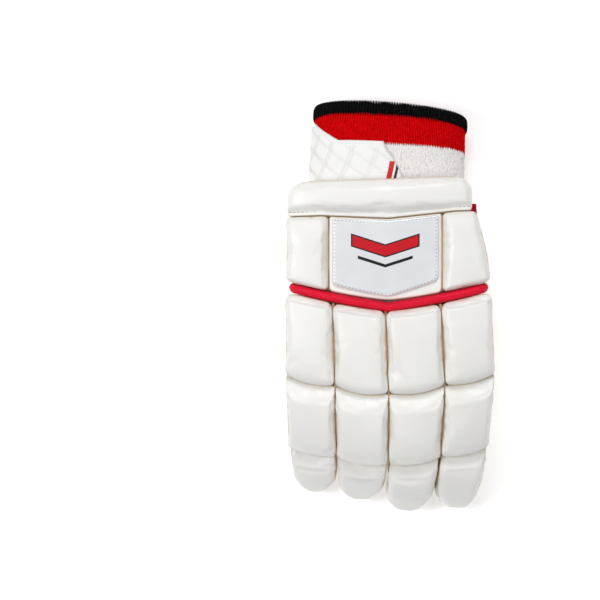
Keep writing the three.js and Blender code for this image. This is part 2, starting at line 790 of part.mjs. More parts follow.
add("hand_shell", handShell(), "palm_leather");
FINGERS.forEach(({ name }, finger) => {
  add(`${name}_stall`, fingerStall(finger), "palm_leather");
  add(`${name}_knuckle_roll`, knuckleRoll(finger), "white_leather");
  add(`${name}_middle_roll`, middleRoll(finger), "white_leather");
  add(`${name}_tip_roll`, tipRoll(finger), "white_leather");
});
add("thumb_stall", thumbStall(), "palm_leather");
const thumbEnd = THUMB.length + THUMB_PAD.past;
const thumbJoint = thumbEnd - THUMB_PAD.tipLength;
add("thumb_base_pad", thumbPad(THUMB_PAD.start, thumbJoint, ROLL_STOPS, ROLL_CORNERS), "white_leather");
add("thumb_tip_pad", thumbPad(thumbJoint, thumbEnd, TIP_STOPS, TIP_CORNERS), "white_leather");
add("thumb_gusset", thumbGusset(), "red_fabric");
add("wrist_pad", wristPad(), "white_leather");
add("little_side_pad", littleSidePad(), "white_leather");
add("index_side_pad", indexSidePad(), "white_leather");
add("badge_backing", badgeBacking(), "white_leather");
add("badge_plate", badgePlate(), "badge_vinyl");
add("knuckle_piping", knucklePiping(), "red_piping");
add("cuff_towelling", cuffTowelling(), "towelling");
add("cuff_band", cuffBand(), "red_knit");
add("cuff_hem", cuffHem(), "black_knit");
add("wrist_strap", wristStrap(), "strap_vinyl");

// The origin is on the floor, under the middle of the glove's outline.
const outline = new THREE.Box3().setFromObject(glove);
const centre = outline.getCenter(new THREE.Vector3());
glove.children.forEach((mesh) => mesh.position.set(-centre.x, -centre.y, 0));

export default glove;
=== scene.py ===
"""The looks of a right-hand cricket batting glove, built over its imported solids.

Lengths are in millimetres until a mesh is made. A point of the hand has three coordinates: u runs
across it towards the index finger, t runs along it from the knuckle line to the fingertips, and h
stands out of the leather that carries the pads.
"""

import json
import logging
import math
from dataclasses import dataclass, field
from enum import Enum
from typing import Callable, Sequence

import bmesh
import bpy
import numpy as np
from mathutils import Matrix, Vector, noise

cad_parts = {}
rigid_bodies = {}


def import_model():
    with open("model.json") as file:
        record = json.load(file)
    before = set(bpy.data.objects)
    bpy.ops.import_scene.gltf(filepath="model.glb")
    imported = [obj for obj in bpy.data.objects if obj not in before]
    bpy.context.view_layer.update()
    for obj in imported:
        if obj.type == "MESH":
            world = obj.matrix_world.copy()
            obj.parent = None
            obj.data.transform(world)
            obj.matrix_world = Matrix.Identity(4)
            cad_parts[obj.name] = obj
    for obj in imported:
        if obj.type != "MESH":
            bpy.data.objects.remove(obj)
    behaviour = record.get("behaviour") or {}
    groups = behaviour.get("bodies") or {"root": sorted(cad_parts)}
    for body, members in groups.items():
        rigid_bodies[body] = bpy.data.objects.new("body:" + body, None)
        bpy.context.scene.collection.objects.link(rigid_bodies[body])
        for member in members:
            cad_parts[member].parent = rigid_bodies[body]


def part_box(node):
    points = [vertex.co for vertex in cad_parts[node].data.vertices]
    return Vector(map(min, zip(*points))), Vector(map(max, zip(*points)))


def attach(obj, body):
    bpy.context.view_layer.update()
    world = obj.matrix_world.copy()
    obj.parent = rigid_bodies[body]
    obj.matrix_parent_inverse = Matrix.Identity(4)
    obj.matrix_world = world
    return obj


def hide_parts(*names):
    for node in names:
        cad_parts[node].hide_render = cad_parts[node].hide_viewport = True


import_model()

log = logging.getLogger("glove")

MM = 0.001
BODY = "root"
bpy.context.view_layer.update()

Array = np.ndarray
Colour = tuple[float, float, float]
Edge = Callable[[Array], Array]
Place = Callable[[Array, Array, Array], Array]


def top_of(node: str) -> Vector:
    """Returns the highest corner of a CAD node, in millimetres."""
    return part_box(node)[1] / MM


# Driving sizes of the glove

SEAT = 0.3
COLUMN_GAP = 0.3
ROW_GAP = 0.35
HAND_WIDTH = 144.0
HALF = HAND_WIDTH / 2
ARCH = 7.0
SIDE_FALL = 3.0
BOW = 14.0
BOW_POWER = 1.4
PALM_HEIGHT = 25.0
WEB_HEIGHT = 17.0
WEB = 43.0
WRIST = 70.0
KNUCKLE_ROW = 56.5
MIDDLE_ROW = 49.5
TIP_WRAP = 15.0
PALM_Z = 31.0
BACK_Z = PALM_Z + PALM_HEIGHT
T_END = KNUCKLE_ROW + MIDDLE_ROW
LITTLE, INDEX = 0, 3
FINGERS = ("little", "ring", "middle", "index")
TIP_LENGTH = (20.0, 19.0, 27.0, 31.0)
CURL = (1.18, 1.25, 1.12, 1.02)
KNUCKLE_PITCH, MIDDLE_PITCH, TIP_PITCH, END_PITCH = 13.0, 30.0, 48.0, 86.0
SPREAD = np.array([
    [-0.488, -0.26, -0.013, 0.244, 0.491],
    [-0.491, -0.249, 0.003, 0.266, 0.51],
    [-0.479, -0.243, 0.003, 0.249, 0.483],
    [-0.446, -0.234, -0.02, 0.214, 0.452],
])
SPREAD_T = np.array([0.0, KNUCKLE_ROW, T_END, T_END + max(TIP_LENGTH)])
OUTLINE_MIDDLE = 0.996
LEATHER_WALL = 1.6
OFF_FLOOR = 0.05
TINY = 1e-9

# The row's origin in hand coordinates: the middle of the outline across, and the wrist's seam along
ORIGIN = np.array([OUTLINE_MIDDLE, WRIST - top_of("hand_shell").y, 0.0])


def lerp(a: float, b: float, share: float) -> float:
    """Returns the value a share of the way from a to b."""
    return a + (b - a) * share


def smooth_step(low: float, high: float, value: Array) -> Array:
    """Returns 0 below low, 1 above high and a smooth rise between them."""
    share = np.clip((np.asarray(value, float) - low) / (high - low), 0, 1)
    return share * share * (3 - 2 * share)


def smooth_min(values: Sequence[Array], softness: float) -> Array:
    """Returns the least of several arrays, with its creases rounded by the softness."""
    stack = -np.stack(values) / softness
    peak = stack.max(0)
    return -softness * (peak + np.log(np.exp(stack - peak).sum(0)))


def shoulder(distance: Array, reach: float) -> Array:
    """Returns a quarter of an ellipse, from 0 at an edge to 1 where it is reached."""
    return np.sqrt(1 - (1 - np.clip(distance / reach, 0, 1)) ** 2)


def flat_edge(value: float) -> Edge:
    """Returns an edge that keeps one value all along."""
    return lambda along: np.full_like(along, value)


# The hand as it lies


class SideView:
    """A curved surface seen from the side, from stops of arc distance and pitch below level."""

    def __init__(self, stops: Sequence[tuple[float, float]]) -> None:
        """Works out where each stop lies.

        Args:
            stops: pairs of distance along the surface and pitch in degrees.
        """
        self.t = np.array([t for t, _ in stops])
        self.pitch = np.radians([pitch for _, pitch in stops])
        self.rate = np.diff(self.pitch) / np.diff(self.t)
        self.ends = np.zeros((len(stops), 2))
        for k in range(len(stops) - 1):
            self.ends[k + 1] = self._reach(np.array([k]), np.array([self.t[k + 1]]))[0, :2]

    def _reach(self, k: Array, t: Array) -> Array:
        """Returns forward, down and pitch at t, on stretch k.

        Args:
            k: the stretch that each distance lies on.
            t: the distances.

        Returns:
            The three numbers, along the last axis.
        """
        rate = np.where(np.abs(self.rate[k]) < TINY, TINY, self.rate[k])
        start = self.pitch[k]
        now = start + rate * (t - self.t[k])
        forward = self.ends[k, 0] + (np.sin(now) - np.sin(start)) / rate
        down = self.ends[k, 1] - (np.cos(now) - np.cos(start)) / rate
        return np.stack([forward, down, now], -1)

    def at(self, t: Array) -> Array:
        """Returns forward, down and pitch at each t."""
        t = np.asarray(t, float)
        k = np.clip(np.searchsorted(self.t, t) - 1, 0, len(self.t) - 2)
        return self._reach(k, t)


def bow_at(u: Array) -> Array:
    """Returns how far the lines across the glove lie back at u."""
    return BOW * np.abs(np.asarray(u) / HALF) ** BOW_POWER


def finger_view(finger: int) -> SideView:
    """Returns the side view of the level back of the hand, running into one finger's curl."""
    tip_end, curl = T_END + TIP_LENGTH[finger], CURL[finger]
    return SideView([(0, 0), (KNUCKLE_ROW, KNUCKLE_PITCH), (T_END, MIDDLE_PITCH * curl),
                     (tip_end, TIP_PITCH * curl), (tip_end + TIP_WRAP, END_PITCH)])


VIEWS = [finger_view(finger) for finger in range(len(FINGERS))]


def on_finger(finger: int) -> Place:
    """Returns the function that turns coordinates along one finger into points.

    Args:
        finger: its number, counted from the little finger.

    Returns:
        The function, from arrays of u, t and h to points.
    """
    view = VIEWS[finger]

    def place(u: Array, t: Array, h: Array) -> Array:
        """Returns points in the row frame, in millimetres."""
        u, t, h = np.broadcast_arrays(*(np.asarray(x, float) for x in (u, t, h)))
        forward, down, pitch = np.moveaxis(view.at(np.maximum(t, 0)), -1, 0)
        forward = forward + np.minimum(t, 0)
        across = u / HALF
        roll = np.arctan((2 * ARCH * across - SIDE_FALL) / HALF)
        x = u + h * np.sin(roll)
        y = bow_at(u) - forward - h * np.sin(pitch) * np.cos(roll)
        z = BACK_Z - ARCH * across**2 + SIDE_FALL * across - down + h * np.cos(pitch) * np.cos(roll)
        return np.stack([x, y, z], -1) - ORIGIN

    return place


on_hand = on_finger(LITTLE)


def column_edge(finger: int, side: int, t: Array) -> Array:
    """Returns the left (0) or right (1) edge of a finger's column of pads at t."""
    return HAND_WIDTH * np.interp(t, SPREAD_T, SPREAD[:, finger + side])


# Meshes


def grid_faces(rows: int, columns: int, first: int = 0) -> list[tuple[int, ...]]:
    """Returns the faces of a grid of points that are numbered row by row.

    Args:
        rows: how many rows there are.
        columns: points in each row.
        first: the number of the first point.

    Returns:
        Four point numbers for each face.
    """
    return [
        (first + i * columns + j, first + i * columns + j + 1,
         first + (i + 1) * columns + j + 1, first + (i + 1) * columns + j)
        for i in range(rows - 1) for j in range(columns - 1)
    ]


def band_faces(upper: Sequence[int], lower: Sequence[int]) -> list[tuple[int, ...]]:
    """Returns the faces between two closed loops of equal count."""
    count = len(upper)
    return [(upper[i], upper[(i + 1) % count], lower[(i + 1) % count], lower[i]) for i in range(count)]


def grid_rim(rows: int, columns: int) -> Array:
    """Returns the numbers of the points round a grid, each once."""
    numbers = np.arange(rows * columns).reshape(rows, columns)
    return np.concatenate([numbers[0, :-1], numbers[:-1, -1], numbers[-1, :0:-1], numbers[:0:-1, 0]])


def tube_faces(loops: int, count: int, first: int = 0, close: bool = False) -> list[tuple[int, ...]]:
    """Returns the faces between loops of points, and from the last to the first if it closes.

    Args:
        loops: how many loops there are.
        count: points in each loop.
        first: the number of the first point.
        close: whether the last loop joins the first.

    Returns:
        Four point numbers for each face.
    """
    faces = []
    for k in range(loops if close else loops - 1):
        upper = [first + k * count + i for i in range(count)]
        lower = [first + (k + 1) % loops * count + i for i in range(count)]
        faces += band_faces(upper, lower)
    return faces


def end_faces(loops: int, count: int, first: int = 0) -> list[tuple[int, ...]]:
    """Returns the two faces that shut a tube of loops."""
    last = first + (loops - 1) * count
    return [tuple(range(start, start + count)) for start in (first, last)]


def oval(angles: Array, power: float | Array) -> tuple[Array, Array]:
    """Returns the width and height, from -1 to 1, of a squared oval at each angle."""
    c, s = np.cos(angles), np.sin(angles)
    return np.sign(c) * np.abs(c) ** (2 / power), np.sign(s) * np.abs(s) ** (2 / power)


def full_turn(count: int) -> Array:
    """Returns evenly spaced angles once round."""
    return np.linspace(0, 2 * np.pi, count, endpoint=False)


def outward(loops: Array) -> Array:
    """Returns the direction away from the middle of its loop, at each point of a tube."""
    away = loops - loops.mean(1, keepdims=True)
    return away / np.linalg.norm(away, axis=-1, keepdims=True)


def make_piece(name: str, points: Array, faces: Sequence[Sequence[int]],
               **numbers: Array | float) -> bpy.types.Object:
    """Makes a smooth, outward-facing mesh object.

    Args:
        name: the piece's name.
        points: its points in millimetres, in the row frame.
        faces: the point numbers of each face.
        numbers: numbers for its material to read, one for each point or one for them all.

    Returns:
        The new object, at the origin.
    """
    points = np.asarray(points, float).reshape(-1, 3)
    mesh = bpy.data.meshes.new(name)
    mesh.from_pydata((points * MM).tolist(), [], list(faces))
    work = bmesh.new()
    work.from_mesh(mesh)
    bmesh.ops.recalc_face_normals(work, faces=work.faces)
    work.to_mesh(mesh)
    work.free()
    mesh.shade_smooth()
    for title, values in numbers.items():
        layer = mesh.attributes.new(title, "FLOAT", "POINT")
        flat = np.asarray(values, np.float32).ravel()
        layer.data.foreach_set("value", np.broadcast_to(flat, len(points)).copy())
    piece = bpy.data.objects.new(name, mesh)
    bpy.context.scene.collection.objects.link(piece)
    return piece


def points_of(mesh: bpy.types.Mesh) -> Array:
    """Returns a mesh's points in millimetres."""
    flat = np.zeros(len(mesh.vertices) * 3)
    mesh.vertices.foreach_get("co", flat)
    return flat.reshape(-1, 3) / MM


def lift(points: Array, least: float | Array = OFF_FLOOR) -> Array:
    """Returns points with those that lie too low lifted to the least height."""
    return np.concatenate([points[..., :2], np.maximum(points[..., 2], least)[..., None]], -1)


def put_points(mesh: bpy.types.Mesh, points: Array) -> None:
    """Moves a mesh's points to places in millimetres, and none under the floor."""
    mesh.vertices.foreach_set("co", (lift(points) * MM).ravel())
    mesh.update()


def dress(piece: bpy.types.Object, finish: bpy.types.Material, slot: str, *nodes: str) -> bpy.types.Object:
    """Gives a piece its finish, hides the CAD nodes that it stands for, and rides it.

    Args:
        piece: the finished mesh.
        finish: its material.
        slot: the record's material slot; it is not used.
        nodes: the CAD nodes that it replaces.

    Returns:
        The same piece.
    """
    piece.data.materials.clear()
    piece.data.materials.append(finish)
    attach(piece, BODY)
    if nodes:
        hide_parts(*nodes)
    log.info("%s: %d points", piece.name, len(piece.data.vertices))
    return piece


def ripple(points: Array, size: float, seed: float) -> Array:
    """Returns smooth noise from -1 to 1 at points in millimetres, at the given size of ripple."""
    values = [noise.noise(Vector(p / size) + Vector((seed, 0, 0))) for p in points.reshape(-1, 3)]
    return np.array(values).reshape(points.shape[:-1])


# Shader maths


class Wire:
    """A shader socket that takes part in Python expressions."""

    def __init__(self, tree: bpy.types.NodeTree, socket: bpy.types.NodeSocket) -> None:
        """Keeps the node tree and the socket."""
        self.tree = tree
        self.socket = socket

    def math(self, operation: str, *others: "Wire | float", first: "Wire | float | None" = None) -> "Wire":
        """Adds one Math node.

        Args:
            operation: its operation.
            others: what follows the first value.
            first: the first value, if it isn't this wire.

        Returns:
            The node's result.
        """
        node = self.tree.nodes.new("ShaderNodeMath")
        node.operation = operation
        for k, value in enumerate((self if first is None else first, *others)):
            if isinstance(value, Wire):
                self.tree.links.new(value.socket, node.inputs[k])
            else:
                node.inputs[k].default_value = value
        return Wire(self.tree, node.outputs[0])

    def __add__(self, other: "Wire | float") -> "Wire":
        """Returns this plus another."""
        return self.math("ADD", other)

    __radd__ = __add__

    def __sub__(self, other: "Wire | float") -> "Wire":
        """Returns this less another."""
        return self.math("SUBTRACT", other)

    def __rsub__(self, other: "Wire | float") -> "Wire":
        """Returns another less this."""
        return self.math("SUBTRACT", self, first=other)

    def __mul__(self, other: "Wire | float") -> "Wire":
        """Returns this times another."""
        return self.math("MULTIPLY", other)

    __rmul__ = __mul__

    def __truediv__(self, other: "Wire | float") -> "Wire":
        """Returns this over another."""
        return self.math("DIVIDE", other)

    def __pow__(self, other: "Wire | float") -> "Wire":
        """Returns this raised to another."""
        return self.math("POWER", other)

    def __neg__(self) -> "Wire":
        """Returns this with its sign turned."""
        return self.math("MULTIPLY", -1.0)

    def __abs__(self) -> "Wire":
        """Returns this without its sign."""
        return self.math("ABSOLUTE")

    def __lt__(self, other: "Wire | float") -> "Wire":
        """Returns 1 where this is less."""
        return self.math("LESS_THAN", other)

    def __gt__(self, other: "Wire | float") -> "Wire":
        """Returns 1 where this is more."""
        return self.math("GREATER_THAN", other)

    def least(self, other: "Wire | float") -> "Wire":
        """Returns the smaller of two values."""
        return self.math("MINIMUM", other)

    def most(self, other: "Wire | float") -> "Wire":
        """Returns the larger of two values."""
        return self.math("MAXIMUM", other)

    def ramp(self, low: float, high: float) -> "Wire":
        """Returns a straight rise from 0 at low to 1 at high, held at its ends."""
        return ((self - low) / (high - low)).least(1.0).most(0.0)


class Tree:
    """A node tree that is built from Python expressions."""

    def __init__(self, tree: bpy.types.NodeTree) -> None:
        """Keeps the tree."""
        self.tree = tree

    def node(self, kind: str, settings: dict | None = None, values: dict | None = None,
             result: str | int = 0) -> Wire:
        """Adds any node.

        Args:
            kind: the node's type.
            settings: its properties.
            values: its sockets' values or links, by name or number.
            result: which of its outputs is returned.

        Returns:
            That output.
        """
        node = self.tree.nodes.new(kind)
        for name, value in (settings or {}).items():
            setattr(node, name, value)
        for name, value in (values or {}).items():
            self.put(node.inputs[name], value)
        return Wire(self.tree, node.outputs[result])

    def put(self, socket: bpy.types.NodeSocket, value: "Wire | float | tuple") -> None:
        """Links or sets one socket.

        Args:
            socket: an input of a node.
            value: what it is linked or set to.
        """
        if isinstance(value, Wire):
            self.tree.links.new(value.socket, socket)
        elif isinstance(value, tuple) and len(value) == 3 and socket.type == "RGBA":
            socket.default_value = (*value, 1)
        else:
            socket.default_value = value


class Finish(Tree):
    """One material with a Principled shader."""

    def __init__(self, name: str) -> None:
        """Makes a material that holds the shader alone.

        Args:
            name: the material's name.
        """
        self.material = bpy.data.materials.new(name)
        self.material.use_nodes = True
        super().__init__(self.material.node_tree)
        self.tree.nodes.clear()
        self.shader = self.tree.nodes.new("ShaderNodeBsdfPrincipled")
        output = self.tree.nodes.new("ShaderNodeOutputMaterial")
        self.tree.links.new(self.shader.outputs[0], output.inputs[0])

    def set(self, **values: "Wire | float | tuple") -> None:
        """Sets the shader's sockets, with _ for the spaces in their names."""
        for name, value in values.items():
            self.put(self.shader.inputs[name.replace("_", " ")], value)

    def place(self) -> Wire:
        """Returns the Object coordinates, in metres."""
        return self.node("ShaderNodeTexCoord", result="Object")

    def axes(self, vector: Wire) -> tuple[Wire, Wire, Wire]:
        """Returns the x, y and z of a vector."""
        split = self.node("ShaderNodeSeparateXYZ", None, {0: vector}).socket.node
        return tuple(Wire(self.tree, output) for output in split.outputs)

    def number(self, name: str) -> Wire:
        """Returns a number that is stored on the mesh's points."""
        return self.node("ShaderNodeAttribute", {"attribute_name": name}, result="Fac")

    def noise(self, scale: float, detail: float = 2.0, roughness: float = 0.5) -> Wire:
        """Returns noise from 0 to 1. The scale is in ripples per metre."""
        return self.node("ShaderNodeTexNoise", None, {"Vector": self.place(), "Scale": scale,
                                                      "Detail": detail, "Roughness": roughness})

    def cells(self, scale: float, feature: str = "F1") -> Wire:
        """Returns the distance field of scattered cells. The scale is in cells per metre."""
        return self.node("ShaderNodeTexVoronoi", {"feature": feature},
                         {"Vector": self.place(), "Scale": scale}, "Distance")

    def mix(self, a: "Wire | Colour", b: "Wire | Colour", share: Wire) -> Wire:
        """Returns a colour between two colours."""
        return self.node("ShaderNodeMix", {"data_type": "RGBA"}, {0: share, 6: a, 7: b}, 2)

    def bump(self, height: Wire, depth: float, below: Wire | None = None) -> Wire:
        """Returns a normal from heights from 0 to 1 that stand for a depth in millimetres.

        Args:
            height: the heights.
            depth: how deep a height of 1 is.
            below: a normal that it is added to.

        Returns:
            The new normal.
        """
        values = {"Height": height, "Distance": depth * MM, "Strength": 1.0}
        if below is not None:
            values["Normal"] = below
        return self.node("ShaderNodeBump", None, values)


def shaded(colour: Colour, share: float) -> Colour:
    """Returns a colour at a share of its brightness."""
    return tuple(part * share for part in colour)


@dataclass(frozen=True)
class Leather:
    """Smooth coated leather: its colours, gloss, grain and creases. Scales are per metre."""

    name: str
    colour: Colour
    worn: Colour
    # the seam colour is painted shade: the tan that a pad's edges take beside the valleys between pads
    seam: Colour
    roughness: float = 0.42
    coat: float = 0.12
    coat_roughness: float = 0.3
    gloss: float = 0.4
    blotch_scale: float = 45.0
    grain: float = 0.05
    grain_scale: float = 900.0
    fine_scale: float = 2600.0
    crease: float = 0.25
    crease_scale: float = 140.0

    def make(self) -> bpy.types.Material:
        """Builds the material. It reads the number "seam", which is 1 at a seam and 0 on a crown; there it
        paints the shade of the valleys between pads in the seam colour.

        Returns:
            The material.
        """
        finish = Finish(self.name)
        blotch = finish.noise(self.blotch_scale, 3).ramp(0.35, 0.7)
        seam = finish.number("seam")
        colour = finish.mix(self.colour, self.worn, blotch * 0.5)
        # Painted shade: the pads' edges and walls take the seam colour
        colour = finish.mix(colour, self.seam, seam)
        grain = finish.cells(self.grain_scale, "SMOOTH_F1") * 0.7 + finish.noise(self.fine_scale, 1) * 0.3
        creases = finish.bump(finish.noise(self.crease_scale, 3, 0.6), self.crease)
        finish.set(Base_Color=colour, Roughness=self.roughness + (blotch - 0.5) * 0.1 + seam * 0.15,
                   Normal=finish.bump(grain, self.grain, creases), Coat_Weight=self.coat,
                   Coat_Roughness=self.coat_roughness, Specular_IOR_Level=self.gloss)
        return finish.material


@dataclass(frozen=True)
class Badge:
    """Glossy pale vinyl with a wide red chevron outlined in black, over a thin black one."""

    name: str
    colour: Colour
    red: Colour
    black: Colour
    centre: tuple[float, float]
    reach: float = 24.0
    rise: float = 0.32
    red_half: float = 3.6
    outline: float = 1.0
    drop: float = 10.5
    thin_half: float = 1.1
    thin_reach: float = 0.8
    print_depth: float = 0.08
    wave_scale: float = 70.0
    wave_depth: float = 0.6

    def make(self) -> bpy.types.Material:
        """Builds the material from the chevrons' distances in Object coordinates.

        Returns:
            The material.
        """
        finish = Finish(self.name)
        x, y, _ = finish.axes(finish.place())
        aside = abs(x / MM - self.centre[0])
        along = y / MM - self.centre[1] - aside * self.rise
        wide = (abs(along) < self.red_half) * (aside < self.reach - self.outline)
        rim = (abs(along) < self.red_half + self.outline) * (aside < self.reach)
        thin = (abs(along + self.drop) < self.thin_half) * (aside < self.reach * self.thin_reach)
        dark = rim.most(thin)
        cloud = finish.noise(60, 2).ramp(0.3, 0.7)
        colour = finish.mix(self.colour, shaded(self.colour, 0.95), cloud)
        colour = finish.mix(colour, self.black, dark)
        colour = finish.mix(colour, self.red, wide)
        printed = finish.bump(dark * 0.5 + wide * 0.5, self.print_depth)
        waves = finish.bump(finish.noise(self.wave_scale, 2), self.wave_depth, printed)
        finish.set(Base_Color=colour, Roughness=0.22, Normal=waves, Coat_Weight=0.8,
                   Coat_Roughness=0.06, Specular_IOR_Level=0.6)
        return finish.material


@dataclass(frozen=True)
class Bar:
    """A printed bar of the strap, from one distance along its tip to another."""

    low: float
    high: float
    is_red: bool


@dataclass(frozen=True)
class Vinyl:
    """Embossed white vinyl with a short red bar and a short black one near its tip."""

    name: str
    colour: Colour
    red: Colour
    black: Colour
    bars: tuple[Bar, ...] = (Bar(9.4, 11.2, False), Bar(12.6, 16.2, True))
    bar_end: float = 16.5
    groove_shade: float = 0.66
    grain_scale: float = 1500.0

    def make(self) -> bpy.types.Material:
        """Builds the material. It reads the numbers "across_bars", "up_strap" and "groove", the last of
        which paints shade in the pressed grooves.

        Returns:
            The material.
        """
        finish = Finish(self.name)
        across, up = finish.number("across_bars"), finish.number("up_strap")
        # Painted shade in the pressed grooves and stitch dots
        colour = finish.mix(self.colour, shaded(self.colour, self.groove_shade), finish.number("groove"))
        for bar in self.bars:
            inside = (across > bar.low) * (across < bar.high) * (up < self.bar_end)
            colour = finish.mix(colour, self.red if bar.is_red else self.black, inside)
        grain = finish.cells(self.grain_scale, "SMOOTH_F1")
        finish.set(Base_Color=colour, Roughness=0.5, Normal=finish.bump(grain, 0.04),
                   Specular_IOR_Level=0.35)
        return finish.material


@dataclass(frozen=True)
class Yarn:
    """Looped or ribbed knit: dense yarn with fluff, flecks and darker patches, and painted shade between
    its ribs and round its loops. Scales are per metre.
    """

    name: str
    colour: Colour
    shade: Colour
    fleck: Colour
    loop_scale: float = 900.0
    fluff_scale: float = 1800.0
    patch_scale: float = 320.0
    fleck_scale: float = 1300.0
    depth: float = 0.5
    flecks: float = 0.3

    def make(self) -> bpy.types.Material:
        """Builds the material. It reads the number "valley", which is 1 between two ribs, where it paints
        shade.

        Returns:
            The material.
        """
        finish = Finish(self.name)
        loops = finish.cells(self.loop_scale)
        fluff = finish.noise(self.fluff_scale, 3, 0.7)
        patch = finish.noise(self.patch_scale, 3, 0.7).ramp(0.4, 0.65)
        # Painted shade between the ribs and round each loop, with darker patches at random
        dark = (finish.number("valley") * 0.6 + loops * 0.7 + patch * 0.35).least(1.0)
        colour = finish.mix(self.colour, self.shade, dark)
        spots = finish.noise(self.fleck_scale, 1).ramp(0.66, 0.74) * self.flecks
        colour = finish.mix(colour, self.fleck, spots)
        looped = finish.bump(1.0 - loops, self.depth)
        finish.set(Base_Color=colour, Roughness=0.95, Normal=finish.bump(fluff, self.depth * 0.4, looped),
                   Specular_IOR_Level=0.02)
        return finish.material


@dataclass(frozen=True)
class Thread:
    """Twisted sewing thread."""

    name: str
    colour: Colour
    twist_scale: float = 3000.0

    def make(self) -> bpy.types.Material:
        """Builds the material.

        Returns:
            The material.
        """
        finish = Finish(self.name)
        twist = finish.noise(self.twist_scale, 1)
        colour = finish.mix(self.colour, shaded(self.colour, 0.7), twist)
        finish.set(Base_Color=colour, Roughness=0.7, Normal=finish.bump(twist, 0.05))
        return finish.material


WHITE = (0.86, 0.855, 0.83)
TAN = (0.66, 0.52, 0.34)
RED = (0.60, 0.003, 0.012)
BLACK = (0.008, 0.008, 0.009)


class Palette:
    """The glove's finishes, each made once."""

    chevron_lift = 3.0

    def __init__(self) -> None:
        """Builds every material."""
        badge_low, badge_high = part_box("badge_plate")
        middle = (badge_low + badge_high) / 2 / MM
        # The white leather's third colour is painted shade on the pads' edges, by the valleys between them
        self.white = Leather("white_leather", WHITE, (0.82, 0.81, 0.78), (0.70, 0.57, 0.40)).make()
        # Tan for the strips in the valleys between pads: painted shade of the seams
        self.seam_shade_leather = Leather("painted_seam_shade", (0.66, 0.49, 0.29), (0.56, 0.40, 0.23), TAN, coat=0.0).make()
        self.palm = Leather("palm_leather", (0.74, 0.70, 0.62), (0.66, 0.61, 0.52), TAN,
                            roughness=0.6, coat=0.0, grain=0.1, grain_scale=700, crease=0.5).make()
        self.piping = Leather("crimson_leather", (0.74, 0.002, 0.030), (0.62, 0.002, 0.022),
                              (0.28, 0.001, 0.006), roughness=0.55, coat=0.0, crease=0.4, gloss=0.2).make()
        self.badge = Badge("silver_vinyl", (0.78, 0.80, 0.83), RED, BLACK,
                           (middle.x, middle.y + self.chevron_lift)).make()
        self.strap = Vinyl("white_vinyl", (0.86, 0.86, 0.85), RED, BLACK).make()
        self.towelling = Yarn("towelling", (1.0, 0.97, 0.965), (0.80, 0.76, 0.76), (1.0, 1.0, 1.0),
                              loop_scale=620, depth=0.7, flecks=0.7).make()
        self.red_knit = Yarn("red_knit", (0.93, 0.002, 0.005), (0.50, 0.0008, 0.002),
                             (1.0, 0.10, 0.10), flecks=0.25).make()
        self.black_knit = Yarn("black_knit", (0.007, 0.007, 0.008), (0.003, 0.003, 0.003),
                               (0.12, 0.12, 0.12), loop_scale=1300, flecks=0.5).make()
        self.gusset = Yarn("crimson_fabric", (0.5, 0.004, 0.03), (0.3, 0.002, 0.015),
                           (0.6, 0.1, 0.1), loop_scale=1600, depth=0.2, flecks=0.1).make()
        self.grey_thread = Thread("grey_thread", (0.33, 0.34, 0.36)).make()
        self.wrist_thread = Thread("wrist_thread", (0.50, 0.46, 0.40)).make()
        self.palm_thread = Thread("palm_thread", (0.42, 0.37, 0.29)).make()


# Repeats


@dataclass(frozen=True)
class Rod:
    """The sizes of one kind of rod in millimetres, and how blunt its ends are."""

    pitch: float
    length: float
    width: float
    height: float
    blunt: float = 3.0


